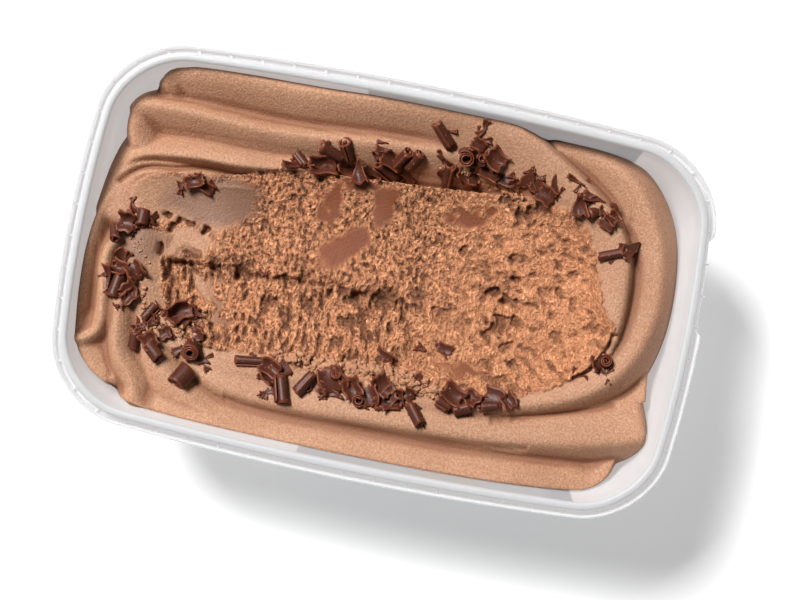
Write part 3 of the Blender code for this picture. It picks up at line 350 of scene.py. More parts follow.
# Edges of the print's fields in metres: where each starts and is full, or is full and ends
PRINT_START_X = (-0.0153, -0.0147)
PRINT_END_X = (0.0680, 0.0672)
PRINT_START_Z = (0.0138, 0.0142)
BLUE_START_Z = (0.030, 0.0305)
OLIVE_START_X = (0.0215, 0.0225)
OLIVE_END_X = (0.0405, 0.0395)
DEEP_START_X = (0.058, 0.062)


# Outline of the tub

def quarter_outline(inset, long_steps, corner_steps, short_steps):
    """Points of a quarter of the rounded rectangle, from the +X end of the middle line to +Y."""
    half_x = LENGTH / 2 - inset
    half_y = WIDTH / 2 - inset
    radius = max(CORNER_RADIUS - CORNER_TIGHTENING * inset, 1.0)
    points = [(half_x, (half_y - radius) * step / short_steps) for step in range(short_steps)]
    for step in range(corner_steps + 1):
        turn = math.radians(90.0 * step / corner_steps)
        points.append((half_x - radius + radius * math.cos(turn),
                       half_y - radius + radius * math.sin(turn)))
    points += [((half_x - radius) * (1 - step / long_steps), half_y)
               for step in range(1, long_steps)]
    return points


def bowed(x, y):
    """Moves a place of the plain rectangle so that all four sides bow outwards."""
    half_x = LENGTH / 2
    half_y = WIDTH / 2
    return (x * (1 - SHORT_SIDE_BOW / half_x * (y / half_y) ** 2),
            y * (1 - LONG_SIDE_BOW / half_y * (x / half_x) ** 2))


def outline(inset):
    """The tub's outline, so far inside the outermost edge, anticlockwise, as an array."""
    quarter = quarter_outline(inset, LONG_STEPS, CORNER_STEPS, SHORT_STEPS)
    across = [(0.0, quarter[-1][1])]
    left = [(-x, y) for x, y in reversed(quarter[1:])]
    half = quarter + across + left
    whole = half + [(-x, -y) for x, y in half]
    return np.array([bowed(x, y) for x, y in whole])


def inner_inset(height):
    """How far the inner wall stands inside the outermost edge, at a height."""
    return LIP_INNER_INSET + (HEIGHT - LIP_ROUND - height) * DRAFT


def outer_inset(height):
    """The same for the wall's outer face."""
    return inner_inset(height) - WALL


def add_mesh(name, points, faces, smooth=True):
    """A mesh object from points in millimetres."""
    mesh = bpy.data.meshes.new(name)
    mesh.from_pydata((np.asarray(points) * MM).tolist(), [], [list(map(int, face)) for face in faces])
    mesh.validate()
    if smooth:
        mesh.shade_smooth()
    made = bpy.data.objects.new(name, mesh)
    bpy.context.scene.collection.objects.link(made)
    return made


def add_attribute(made, name, values):
    """Stores one number for each point of a mesh, for its material to read."""
    attribute = made.data.attributes.new(name, "FLOAT", "POINT")
    attribute.data.foreach_set("value", np.asarray(values, np.float32))


def ring_faces(rings, count, start=0):
    """Faces between closed rings of the same number of points, one after another."""
    faces = []
    for ring in range(rings - 1):
        low = start + ring * count
        for place in range(count):
            after = (place + 1) % count
            faces.append((low + place, low + after, low + count + after, low + count + place))
    return faces


# The surface, as in the part's source

def smooth_path(points):
    """A Catmull-Rom curve through the points, whatever their number of values."""
    rows = np.array(points, float)
    padded = np.vstack([2 * rows[0] - rows[1], rows, 2 * rows[-1] - rows[-2]])
    share = np.linspace(0, 1, SPLINE_STEPS, endpoint=False)[:, None]
    pieces = []
    for before, start, end, after in zip(padded, padded[1:], padded[2:], padded[3:]):
        pieces.append(0.5 * (2 * start + (end - before) * share
                             + (2 * before - 5 * start + 4 * end - after) * share ** 2
                             + (3 * start - before - 3 * end + after) * share ** 3))
    pieces.append(rows[-1:])
    return np.vstack(pieces)


def from_path(path, x, y):
    """Distance from a path, positive on its left; how far before its start and past its end a
    place lies; and the path's level at the nearest place."""
    nearest = np.full(x.shape, np.inf)
    side = np.ones(x.shape)
    level = np.zeros(x.shape)
    before = np.zeros(x.shape)
    past = np.zeros(x.shape)
    for number, (start, end) in enumerate(zip(path, path[1:])):
        run = end[:2] - start[:2]
        length = math.hypot(run[0], run[1])
        along = ((x - start[0]) * run[0] + (y - start[1]) * run[1]) / length
        share = np.clip(along / length, 0, 1)
        off_x = x - start[0] - share * run[0]
        off_y = y - start[1] - share * run[1]
        apart = off_x ** 2 + off_y ** 2
        nearer = apart < nearest
        nearest = np.where(nearer, apart, nearest)
        side = np.where(nearer, np.where(run[0] * off_y - run[1] * off_x < 0, -1.0, 1.0), side)
        before = np.where(nearer, np.maximum(-along, 0) if number == 0 else 0.0, before)
        past = np.where(nearer, np.maximum(along - length, 0) if number == len(path) - 2 else 0.0, past)
        if len(start) > 2:
            level = np.where(nearer, start[2] + share * (end[2] - start[2]), level)
    return np.sqrt(nearest) * side, before, past, level


def fold_height(fold, x, y):
    """Height of one fold: its crest's level, less the fall to either side and round its ends."""
    apart, before, past, level = from_path(smooth_path(fold["crest"]), x, y)
    reach = np.where(apart > 0, fold["left"][0], fold["right"][0])
    fall = np.where(apart > 0, fold["left"][1], fold["right"][1])
    share = np.abs(apart) / reach
    edge = fold["edge"]
    bulge = (np.sqrt(share ** 2 + edge ** 2) - edge) / (math.sqrt(1 + edge ** 2) - edge)
    beyond = SHARPNESS_BEYOND_FOLD * np.maximum(share - 1, 0) ** 2
    start, finish = fold["ends"]
    rounding = END_FALL * (start * (before / END_REACH) ** 2 + finish * (past / END_REACH) ** 2)
    return level - fall * (bulge + beyond) - rounding


def soft_max(first, second, softness):
    """The higher of two surfaces, with the crease between them filled a little."""
    return np.maximum(first, second) + softness * np.exp(-np.abs(first - second) / softness)


def lumps(x, y, size, seed):
    """Smooth random values from 0 to 1, with hills about as wide as size."""
    table = np.random.RandomState(seed).rand(64, 64)
    cell_x = np.floor(x / size).astype(int)
    cell_y = np.floor(y / size).astype(int)
    part_x = x / size - cell_x
    part_y = y / size - cell_y
    part_x = part_x ** 2 * (3 - 2 * part_x)
    part_y = part_y ** 2 * (3 - 2 * part_y)
    corner = [table[(cell_x + i) % 64, (cell_y + j) % 64] for i, j in ((0, 0), (1, 0), (0, 1), (1, 1))]
    near = corner[0] * (1 - part_x) + corner[1] * part_x
    far = corner[2] * (1 - part_x) + corner[3] * part_x
    return near * (1 - part_y) + far * part_y


def pass_floor(scoop, y):
    """The rounded floor that one pull of the scoop leaves."""
    return scoop["floor"] + scoop["rise"] * ((y - scoop["middle"]) / scoop["half"]) ** 2


def blend(low, high, value):
    """0 below low, 1 above high, smooth between."""
    share = np.clip((value - low) / (high - low), 0, 1)
    return share ** 2 * (3 - 2 * share)


def trench_floor(x, y):
    """Floor of the scraped trench: two pulls of the scoop side by side, and one at the right."""
    smear = SMEAR_SOFTNESS * np.logaddexp(0, (SMEAR_START_X - x) / SMEAR_SOFTNESS)
    upper = pass_floor(UPPER_PASS, y) + SMEAR_SLOPE * smear
    lower = pass_floor(LOWER_PASS, y) + LOWER_SMEAR_SLOPE * smear
    seam = PASS_SEAM_Y + SEAM_WANDER * (lumps(x, y, SEAM_WANDER_SIZE, 3) - 0.5)
    floor = lower + (upper - lower) * blend(-SEAM_HALF_WIDTH, SEAM_HALF_WIDTH, y - seam)
    right = blend(-RIGHT_PASS_HALF_WIDTH, RIGHT_PASS_HALF_WIDTH, x - RIGHT_PASS_X)
    end = RIGHT_END["rise"] * (np.maximum(x - RIGHT_END["x"], 0) / RIGHT_END["reach"]) ** 2
    floor = floor + (pass_floor(RIGHT_PASS, y) + end - floor) * right
    return floor + FLOOR_UNEVENNESS * (lumps(x, y, UNEVENNESS_SIZE, 8) - 0.5)


def inside_trench(x, y):
    """Distance inside the trench's outline, positive within."""
    return from_path(smooth_path(TRENCH_OUTLINE + TRENCH_OUTLINE[:1]), x, y)[0]


def surface(x, y):
    """Height of the ice cream below the lip's top, without its curls."""
    height = np.full(x.shape, DEEPEST_GAP)
    for fold in FOLDS.values():
        height = soft_max(height, fold_height(fold, x, y), MERGE_SOFTNESS)
    for points, half_width, depth in CLEFTS:
        apart, before, past, _ = from_path(smooth_path(points), x, y)
        height = height - depth * np.exp(-(apart ** 2 + 2 * (before + past)) / half_width ** 2)
    dent = ((x - DISH["x"]) / DISH["half_x"]) ** 2 + ((y - DISH["y"]) / DISH["half_y"]) ** 2
    height = height - DISH["depth"] * np.exp(-dent)
    inside = inside_trench(x, y)
    floor = trench_floor(x, y)
    wall = TRENCH_WALL_HEIGHT * np.exp(-np.maximum(inside, 0) / TRENCH_WALL_REACH)
    height = np.where(inside > 0, np.minimum(np.maximum(height, floor), floor + wall), height)
    apart = from_path(smooth_path(CRUMB_LIP), x, y)[0]
    crumb = np.exp(-(apart / CRUMB_LIP_WIDTH) ** 2) * lumps(x, y, CRUMB_SIZE, 5)
    return height + CRUMB_LIP_HEIGHT * crumb


# Fine relief of the scraped trench

def turned_lumps(x, y, size, seed, turn=0.6, stretch=1.0):
    """Lumps on a turned lattice, stretched along its second direction."""
    along = x * math.cos(turn) + y * math.sin(turn)
    across = (y * math.cos(turn) - x * math.sin(turn)) / stretch
    return lumps(along, across, size, seed)


def oval(x, y, middle_x, middle_y, half_x, half_y, turn=0.0):
    """1 at the middle of an oval, 0 outside it, smooth between."""
    cos, sin = math.cos(turn), math.sin(turn)
    along = ((x - middle_x) * cos + (y - middle_y) * sin) / half_x
    across = ((y - middle_y) * cos - (x - middle_x) * sin) / half_y
    return 1 - blend(0.6, 1.15, np.sqrt(along ** 2 + across ** 2))


# Smooth scraped patches in the trench: middle, half sizes and turn
SMOOTH_PATCHES = [
    (-14, 7.6, 10.5, 5, 0.71), (-20, 18.6, 3.8, 7.5, 0.1), (-4.5, 22, 5.4, 6.4, 0.2),
    (-13, 26.5, 9, 2.2, 0.05), (-66, 13, 22, 9, 0.2),
    (-70, -3, 9, 5, 0.2), (-50, 14, 8, 11, -0.5), (-48, -17, 2.2, 11, 0.4), (-53, -12, 1.6, 6, 0.4),
    (-57, 3, 7, 4, 0), (22, 24, 8, 4, 0.1), (28, -21, 9, 2.6, -0.1), (-60, 1, 10, 6, 0.1)]


def smoothness(x, y):
    """1 where the scraped floor is smooth, 0 where it is torn."""
    smooth = np.zeros(x.shape)
    ragged = 5.0 * (turned_lumps(x, y, 3.2, 21) - 0.5)
    for middle_x, middle_y, half_x, half_y, turn in SMOOTH_PATCHES:
        patch = oval(x + ragged, y + ragged, middle_x, middle_y, half_x, half_y, turn)
        smooth = np.maximum(smooth, patch)
    return smooth


def pitted(x, y, size, seed, turn, stretch, low, high):
    """Pits with steep sides, 1 at their bottoms."""
    mixed = 0.68 * turned_lumps(x, y, size, seed, turn, stretch)
    mixed = mixed + 0.32 * turned_lumps(x, y, 0.55 * size, seed + 100, turn + 0.5, stretch)
    return blend(low, high, mixed)


# Grain that each pull of the scoop leaves: how high its crumbs stand, how deep its pits are and how much
# painted shade they get, and the pits' size, seed, turn, stretch and the two noise values between which
# they deepen
UPPER_GRAIN = {"crumbs": 0.6, "depth": 0.85, "shade": 1.0, "pits": (0.82, 37, 0.12, 1.7, 0.52, 0.78)}
LOWER_GRAIN = {"crumbs": 0.8, "depth": 1.5, "shade": 1.0, "pits": (1.0, 38, 0.06, 3.4, 0.48, 0.74)}
RIGHT_GRAIN = {"crumbs": 0.6, "depth": 0.9, "shade": 0.8, "pits": (1.7, 39, 0.8, 1.3, 0.52, 0.80)}
RIDGE_HEIGHT = 0.7
MOUND_HEIGHT = 1.5
GRAIN_SINK = 0.45


def grain(x, y):
    """Height of the torn grain above the scraped floor, and how deep each place is in a pit, which sets
    how much shade is painted there.
    """
    lower = blend(2.0, -2.0, y - PASS_SEAM_Y) * blend(22, 4, x)
    right = blend(8, 36, x)
    upper = (1 - lower) * (1 - right)
    x = x + 2.4 * (turned_lumps(x, y, 8, 71) - 0.5)
    crumbs = 0.6 * turned_lumps(x, y, 0.85, 31, 0.5) + 0.4 * turned_lumps(x, y, 1.5, 30, 1.0)
    ridges = turned_lumps(x, y, 2.2, 33, 0.05, 3.0)
    mounds = 0.6 * turned_lumps(x, y, 2.8, 35, 0.7) + 0.4 * turned_lumps(x, y, 1.5, 36, 0.2)
    height = lower * RIDGE_HEIGHT * ridges + right * MOUND_HEIGHT * mounds - GRAIN_SINK
    depth = np.zeros(x.shape)
    for share, pull in ((upper, UPPER_GRAIN), (lower, LOWER_GRAIN), (right, RIGHT_GRAIN)):
        pits = pitted(x, y, *pull["pits"])
        height = height + share * (pull["crumbs"] * crumbs - pull["depth"] * pits)
        depth = depth + share * pull["shade"] * pits
    return height, depth


def seam_crumble(x, y):
    """Ragged cracks where two pulls of the scoop meet."""
    reach = blend(-66, -56, x) * blend(34, 10, x)
    band = np.exp(-((y - PASS_SEAM_Y - 1.2 * np.sin(x / 6)) / 2.6) ** 2) * reach
    crack = blend(0.42, 0.66, turned_lumps(x, y, 2.0, 41, 0.1, 1.3))
    return band * crack


# Ragged holes torn in the scraped floor: middle, half sizes and depth
TORN_HOLES = [
    (-68.5, 6.6, 1.6, 1.0, 1.8), (-65.5, 3.6, 1.5, 1.3, 2.0), (-63.6, 5.8, 1.2, 1.0, 1.8),
    (-60.4, 5.8, 1.6, 0.9, 1.6), (-55.6, 4.6, 1.0, 2.0, 2.0), (-71.5, 3.6, 2.0, 0.8, 1.4),
    (-67.4, -3.4, 1.0, 2.4, 2.2), (-61.5, -6.6, 3.2, 0.9, 1.6), (-44, -6.6, 1.6, 1.4, 2.0),
    (33, 3.4, 3.2, 1.6, 1.8), (38, 1.6, 3.0, 1.6, 1.7), (37, -5.4, 2.4, 3.2, 1.7),
    (42, -4.4, 1.6, 1.6, 1.2),
    (38, 27.6, 3.6, 2.2, 1.6), (41, 30, 4.0, 1.8, 1.6), (33, 31, 3.4, 1.4, 1.3), (52, 22, 1.6, 1.2, 1.0),
    (38, 15, 1.8, 1.4, 1.2), (40, 8, 1.8, 1.3, 1.3), (22, 14, 1.2, 1.2, 1.2), (34, -9, 2.2, 2.2, 1.3),
    (41, -12, 2.6, 1.4, 1.3), (43, -17.5, 2.2, 1.2, 1.2), (-15.6, -27.4, 1.2, 1.4, 1.8)]


def torn_holes(x, y):
    """Depth of the larger ragged holes."""
    depth = np.zeros(x.shape)
    ragged = 1.6 * (turned_lumps(x, y, 1.4, 81) - 0.5)
    for middle_x, middle_y, half_x, half_y, deep in TORN_HOLES:
        away = np.hypot((x - middle_x) / half_x, (y - middle_y) / half_y) + ragged
        depth = np.maximum(depth, deep * (1 - blend(0.55, 1.1, away)))
    return depth


# Two glossy smears at the trench's left end: middle, half sizes and turn
LONG_SMEAR = (-55, 13.4, 17, 8.0, 0.14)
SHORT_SMEAR = (-74.5, -3, 8.5, 7, 0.1)
CRACK_DEPTH = 1.9
HOLE_FULL_SHADE = 1.8


def fine_surface(x, y):
    """Height of the whole visible surface with its grain, how torn, smeared and scraped each place is,
    how much shade is painted in its pits, cracks and holes, and where less shade is painted between
    grains."""
    height = surface(x, y)
    inside = inside_trench(x, y)
    scraped = blend(-0.6, 0.8, inside + 1.2 * (turned_lumps(x, y, 1.6, 43) - 0.5))
    torn = scraped * (1 - smoothness(x, y))
    relief, pit = grain(x, y)
    crumble = seam_crumble(x, y) * blend(-0.5, 0.5, inside)
    height = height + torn * relief - CRACK_DEPTH * crumble
    holes = torn_holes(x, y)
    height = height - holes
    lip = np.exp(-(from_path(smooth_path(CRUMB_LIP), x, y)[0] / CRUMB_LIP_WIDTH) ** 2)
    rough = 1.3 * turned_lumps(x, y, 1.5, 51) + 0.7 * turned_lumps(x, y, 0.8, 52) - 1.0
    height = height + lip * rough
    soft = 0.25 * (turned_lumps(x, y, 9, 61) - 0.5) + 0.04 * (turned_lumps(x, y, 1.2, 62) - 0.5)
    height = height + soft * (1 - torn)
    # How much shade to paint at each place: in the pits of the torn grain, the seam's cracks and the torn
    # holes
    pit = np.clip(torn * pit + 0.9 * crumble + holes / HOLE_FULL_SHADE, 0, 1)
    ragged = 3.0 * (turned_lumps(x, y, 4.0, 63) - 0.5)
    smear = oval(x + ragged, y + ragged, *LONG_SMEAR) * blend(-1, 1, inside)
    smear = np.maximum(smear, 0.9 * oval(x, y, *SHORT_SMEAR))
    torn = np.maximum(torn, 0.9 * lip)
    scraped = scraped * blend(-54, -40, x)
    return height, torn, smear, pit, scraped, blend(8, 40, x)


# The ice cream as a mesh

def grid_quads(index):
    """The faces of a grid of points."""
    corners = [index[:-1, :-1], index[:-1, 1:], index[1:, 1:], index[1:, :-1]]
    return np.stack(corners, axis=-1).reshape(-1, 4)


def grid_border(index):
    """The points round the edge of a grid, in order."""
    return np.concatenate([index[0, :-1], index[:-1, -1], index[-1, :0:-1], index[:0:-1, 0]])


def stepped(low, high, fine_low, fine_high):
    """Places from low to high, closer together in the fine stretch."""
    before = max(LEAST_COARSE_STEPS, round((fine_low - low) / COARSE_STEP))
    within = round((fine_high - fine_low) / FINE_STEP)
    beyond = max(LEAST_COARSE_STEPS, round((high - fine_high) / COARSE_STEP))
    return np.concatenate([np.linspace(low, fine_low, before, endpoint=False),
                           np.linspace(fine_low, fine_high, within, endpoint=False),
                           np.linspace(fine_high, high, beyond)])


def row_half_width(inset, y):
    """Half the length of the plain rounded rectangle at a y."""
    half_x = LENGTH / 2 - inset
    half_y = WIDTH / 2 - inset
    radius = CORNER_RADIUS - CORNER_TIGHTENING * inset
    into_corner = np.clip(np.abs(y) - (half_y - radius), 0, radius)
    return half_x - radius + np.sqrt(np.maximum(radius ** 2 - into_corner ** 2, 0))


def crease_shade_of(height):
    """How far each place of the grid lies in a crease, from 0 to 1, by the ground around it, for painting
    shade into creases.
    """
    around = height.copy()
    for _ in range(10):
        padded = np.pad(around, 1, mode="edge")
        around = (padded[:-2, 1:-1] + padded[2:, 1:-1] + padded[1:-1, :-2] + padded[1:-1, 2:]) / 4
    return blend(0.02, 0.55, around - height)


def make_ice_cream():
    """The contents: a fine grid over the tub's inside, with walls down to the floor."""
    meeting = HEIGHT - MEETING_DROP
    inset = inner_inset(meeting) + CONTACT_GAP
    half_x = LENGTH / 2 - inset
    half_y = WIDTH / 2 - inset
    columns = stepped(-half_x, half_x, *FINE_X) / half_x
    rows = stepped(-half_y, half_y, *FINE_Y)
    row_half = row_half_width(inset, rows)[:, None]
    plain_y = np.repeat(rows[:, None], len(columns), axis=1)
    plain_x = columns[None, :] * row_half
    x, y = bowed(plain_x, plain_y)
    height, torn, smear, pit, scraped, less_gap_shade = fine_surface(x.ravel(), y.ravel())
    height = HEIGHT + height.reshape(x.shape)

    # The edge follows the sloping wall
    drop = np.maximum(meeting - height, -HIGHEST_ABOVE_MEETING) * DRAFT
    near_wall = np.maximum(np.abs(plain_x) / row_half, np.abs(plain_y) / half_y) ** 12
    x = x * (1 - drop * near_wall / half_x)
    y = y * (1 - drop * near_wall / half_y)
    top = np.stack([x.ravel(), y.ravel(), height.ravel()], axis=1)
    index = np.arange(x.size).reshape(x.shape)
    faces = grid_quads(index).tolist()

    # Side and underside
    border = grid_border(index)
    edge = top[border]
    low = FLOOR_TOP + CONTACT_GAP
    foot = edge.copy()
    foot[:, 0] *= 1 - (edge[:, 2] - low) * DRAFT / half_x
    foot[:, 1] *= 1 - (edge[:, 2] - low) * DRAFT / half_y
    foot[:, 2] = low + BASE_ROUND
    sole = foot * (*SOLE_SHARE, 1)
    sole[:, 2] = low
    start = len(top)
    count = len(border)
    for place in range(count):
        after = (place + 1) % count
        faces.append((border[after], border[place], start + place, start + after))
        faces.append((start + after, start + place, start + count + place, start + count + after))
        faces.append((start + count + after, start + count + place, start + 2 * count))
    made = add_mesh("ice_cream_surface", np.vstack([top, foot, sole, [[0.0, 0.0, low]]]), faces)
    # Masks for the material; the crease, pit and gap masks say where it paints shade
    looks = {"torn": torn, "smear": smear, "pit": pit, "scraped": scraped, "less_gap_shade": less_gap_shade,
             "crease_shade": crease_shade_of(height).ravel()}
    for name, values in looks.items():
        add_attribute(made, name, np.concatenate([values, np.zeros(2 * count + 1)]))
    return made


# Chocolate curls as rolled shavings

def sheet_faces(rows, columns):
    """Faces of a thin closed sheet: two grids of points, the second under the first."""
    count = rows * columns
    index = np.arange(count).reshape(rows, columns)
    top = grid_quads(index)
    rim = grid_border(index)
    sides = [(near, near + count, after + count, after) for near, after in zip(rim, np.roll(rim, -1))]
    return top.tolist() + (top[:, ::-1] + count).tolist() + sides


def thick_sheet(middle, normal, thickness):
    """Points of both faces of a sheet, and how near each is to the sheet's rim."""
    upper = middle + normal * thickness / 2
    lower = middle - normal * thickness / 2
    rows, columns = middle.shape[:2]
    rim = np.zeros((rows, columns))
    rim[0] = rim[-1] = 1
    rim[:, 0] = rim[:, -1] = 1
    return np.concatenate([upper.reshape(-1, 3), lower.reshape(-1, 3)]), np.tile(rim.ravel(), 2)


def surface_normals(middle):
    """Unit normals of a grid of places."""
    along = np.gradient(middle, axis=0)
    across = np.gradient(middle, axis=1)
    normal = np.cross(along, across)
    return normal / np.maximum(np.linalg.norm(normal, axis=-1, keepdims=True), 1e-9)


def roll_sheet(length, width, draw, turns):
    """A shaving rolled up round X, wider at one end, with ragged ends."""
    around = np.linspace(0, 1, 26)[:, None]
    along = np.linspace(-0.5, 0.5, 9)[None, :]
    phase = draw.uniform(0, 2 * math.pi)
    angle = phase + turns * 2 * math.pi * (1 - around)
    taper = 1 + draw.uniform(-0.25, 0.25) * along
    radius = width / 2 * (1 - 0.62 * (1 - around) ** 0.8) * taper
    ragged = draw.uniform(0.3, 0.9) * np.sin(around * draw.uniform(6, 14) + phase)
    slant = draw.uniform(-0.9, 0.9) * (around - 0.5)
    x = along * (length + 2 * np.abs(along) * ragged) + slant
    return np.stack([x + 0 * angle, radius * np.cos(angle), radius * np.sin(angle)], axis=-1)


def flake_sheet(length, width, draw, point):
    """A bent shaving along X, whose far end narrows to the share that point gives."""
    along = np.linspace(0, 1, 9)[:, None]
    across = np.linspace(-0.5, 0.5, 9)[None, :]
    breadth = width * (1 + (point - 1) * along ** draw.uniform(0.8, 1.5))
    ragged = 0.09 * width * np.sin(across * draw.uniform(8, 18) + draw.uniform(0, 6))
    wave = 0.05 * width * np.sin(along * draw.uniform(5, 11) + draw.uniform(0, 6))
    x = (along - 0.5) * length + ragged * (2 * along - 1)
    y = across * breadth + wave
    curl = draw.uniform(0.3, 1.7) / width
    lengthwise = draw.uniform(-0.5, 1.0) / max(length, 3.0)
    z = curl * (across * breadth) ** 2 + lengthwise * ((along - 0.5) * length) ** 2
    return np.stack([x, y, z], axis=-1)


def curl_sheet(kind, length, width, draw):
    """The middle sheet of a curl of some kind."""
    if kind == "roll":
        return roll_sheet(length, width, draw, draw.uniform(*ROLL_TURNS))
    if kind == "scroll":
        return roll_sheet(width * 1.05, width, draw, draw.uniform(*SCROLL_TURNS))[..., [2, 1, 0]]
    return flake_sheet(length, width, draw, 1.0 if kind == "flake" else SHARD_POINT)


def splinters(draw):
    """Small sharp scraps round the curls, in the form of rows of the curls' own list."""
    rows = []
    for _, x0, y0, x1, y1, _ in CURLS:
        for _ in range(SPLINTERS_EACH):
            x = (x0 + x1) / 2 + draw.uniform(-SPLINTER_SPREAD, SPLINTER_SPREAD)
            y = (y0 + y1) / 2 + draw.uniform(-SPLINTER_SPREAD, SPLINTER_SPREAD)
            turn = draw.uniform(0, 2 * math.pi)
            reach = draw.uniform(*SPLINTER_SIZE)
            run_x, run_y = reach * math.cos(turn), reach * math.sin(turn)
            rows.append(("shard", x - run_x, y - run_y, x + run_x, y + run_y,
                         draw.uniform(*SPLINTER_SIZE)))
    return rows


def make_curls():
    """All curls as one mesh, laid on the surface at the part's own places, with splinters."""
    tip = random.Random(CURL_SEED)
    draw = random.Random(CURL_SEED + 1)
    points, faces, rims = [], [], []
    total = 0
    rows = CURLS + splinters(draw)
    ends = np.array([row[1:5] for row in rows])
    start_levels = HEIGHT + surface(ends[:, 0], ends[:, 1])
    end_levels = HEIGHT + surface(ends[:, 2], ends[:, 3])
    for (kind, x0, y0, x1, y1, width), low, high in zip(rows, start_levels, end_levels):
        width = width * CURL_BREADTH
        start = Vector((x0, y0, low))
        end = Vector((x1, y1, high))
        length = max((end - start).length, LEAST_CURL_LENGTH)
        direction = Vector((1, 0, 0)) if kind == "scroll" else (end - start).normalized()
        turned = direction.to_track_quat("X", "Z").to_matrix().to_4x4()
        tipped = Matrix.Rotation(tip.uniform(-MOST_TILT, MOST_TILT), 4, "X")
        raised = Vector((0, 0, CURL_LIFT[kind] * width))
        placed = np.array(Matrix.Translation((start + end) / 2 + raised) @ turned @ tipped)
        middle = curl_sheet(kind, length, width, draw)
        own, rim = thick_sheet(middle, surface_normals(middle), CURL_THICKNESS)
        own = own @ placed[:3, :3].T + placed[:3, 3]
        points.append(own)
        rims.append(rim)
        faces += (np.array(sheet_faces(*middle.shape[:2])) + total).tolist()
        total += len(own)
    made = add_mesh("chocolate_curls", np.vstack(points), faces)
    add_attribute(made, "rim", np.concatenate(rims))
    return made


# Crumbs of ice cream pushed out of the trench: a path, its half width, how many, and the largest
CRUMB_AREAS = [
    ([(-26, -28), (-10, -27.6), (0, -27), (8, -27.6), (20, -29.2), (27, -29.6)], 1.9, 620, 2.3),
    ([(-70, -20), (-63, -26), (-56, -25), (-52, -22)], 3.6, 120, 1.7),
    ([(12, 36), (20, 36.4), (34, 33.4)], 2.0, 90, 1.6),
    ([(-77, 1), (-71, -8)], 2.6, 24, 1.0)]
CRUMB_SEED = 23
LEAST_CRUMB = 0.22
CRUMB_LIFT = 0.25
CRUMB_TORN = 0.3


def make_crumbs():
    """Loose crumbs as small rough lumps resting on the surface."""
    draw = random.Random(CRUMB_SEED)
    ball = bmesh.new()
    bmesh.ops.create_icosphere(ball, subdivisions=2, radius=1.0)
    shape = np.array([vert.co[:] for vert in ball.verts])
    shape_faces = np.array([[vert.index for vert in face.verts] for face in ball.faces])
    ball.free()
    crumbs = []
    for path, reach, number, largest in CRUMB_AREAS:
        places = smooth_path(path)
        for _ in range(number):
            middle = places[draw.randrange(len(places))]
            size = LEAST_CRUMB + (largest / 2 - LEAST_CRUMB) * draw.random() ** 1.5
            crumbs.append((middle[0] + draw.gauss(0, reach / 2),
                           middle[1] + draw.gauss(0, reach / 2), size))
    crumbs = np.array(crumbs)
    levels = HEIGHT + fine_surface(crumbs[:, 0], crumbs[:, 1])[0]
    points, faces = [], []
    for (x, y, size), level in zip(crumbs, levels):
        rough = np.array([draw.uniform(0.70, 1.2) for _ in shape])[:, None]
        stretch = np.array([draw.uniform(0.7, 1.3) for _ in range(3)])
        faces += (shape_faces + len(points) * len(shape)).tolist()
        points.append(shape * rough * stretch * size + np.array([x, y, level + CRUMB_LIFT * size]))
    made = add_mesh("ice_cream_crumbs", np.vstack(points), faces)
    add_attribute(made, "torn", np.full(len(made.data.vertices), CRUMB_TORN))
    # Crumbs get less painted shade in the gaps between their grains
    add_attribute(made, "less_gap_shade", np.ones(len(made.data.vertices)))
    return made


# The tub as a mesh

def rounded(profile, radius, steps=4):
    """A profile with each corner cut to a small curve."""
    rows = np.array(profile, float)
    smooth = [rows[0]]
    for before, corner, after in zip(rows, rows[1:], rows[2:]):
        to_before = before - corner
        to_after = after - corner
        reach = min(radius, 0.45 * np.linalg.norm(to_before), 0.45 * np.linalg.norm(to_after))
        start = corner + to_before / np.linalg.norm(to_before) * reach
        end = corner + to_after / np.linalg.norm(to_after) * reach
        for step in range(steps + 1):
            share = step / steps
            smooth.append((1 - share) ** 2 * start + 2 * share * (1 - share) * corner + share ** 2 * end)
    smooth.append(rows[-1])
    return np.array(smooth)


# Small sizes of the moulding, beside those of the part's source
FLAT_REACH = 8.0
CHANNEL_DRAFT = 0.1
LIP_SHOULDER = 0.5
LIP_CROWN = 0.15
SHARP_ANGLE = math.radians(50.0)


def tub_profile():
    """(inset, height) from the middle of the underside, out, over the rim and in to the floor."""
    fence_top = HEIGHT - FENCE_DROP
    channel = HEIGHT - CHANNEL_DROP
    flange_under = channel - FLANGE_THICKNESS
    skirt_end = HEIGHT - SKIRT_DROP
    foot = outer_inset(0.0) + BASE_ROUND
    lip_outer = FENCE_WALL + CHANNEL_WIDTH
    lip_middle = lip_outer + LIP_WIDTH / 2
    foot_inner = foot + FOOT_WIDTH + FOOT_HEIGHT
    floor_edge = inner_inset(FLOOR_TOP) + BASE_ROUND
    profile = [(foot_inner + FLAT_REACH, FOOT_HEIGHT), (foot_inner, FOOT_HEIGHT),
               (foot + FOOT_WIDTH, 0.0), (foot, 0.0), (outer_inset(BASE_ROUND), BASE_ROUND),
               (outer_inset(flange_under), flange_under), (FENCE_WALL, flange_under),
               (FENCE_WALL, skirt_end), (0.0, skirt_end), (0.0, fence_top), (FENCE_WALL, fence_top),
               (FENCE_WALL + CHANNEL_DRAFT, channel), (lip_outer - CHANNEL_DRAFT, channel),
               (lip_outer, HEIGHT - LIP_ROUND), (lip_outer + LIP_SHOULDER, HEIGHT - LIP_CROWN),
               (lip_middle, HEIGHT), (LIP_INNER_INSET - LIP_SHOULDER, HEIGHT - LIP_CROWN),
               (LIP_INNER_INSET, HEIGHT - LIP_ROUND),
               (inner_inset(FLOOR_TOP + BASE_ROUND), FLOOR_TOP + BASE_ROUND),
               (floor_edge, FLOOR_TOP), (floor_edge + FLAT_REACH, FLOOR_TOP)]
    return rounded(profile, PROFILE_ROUND)


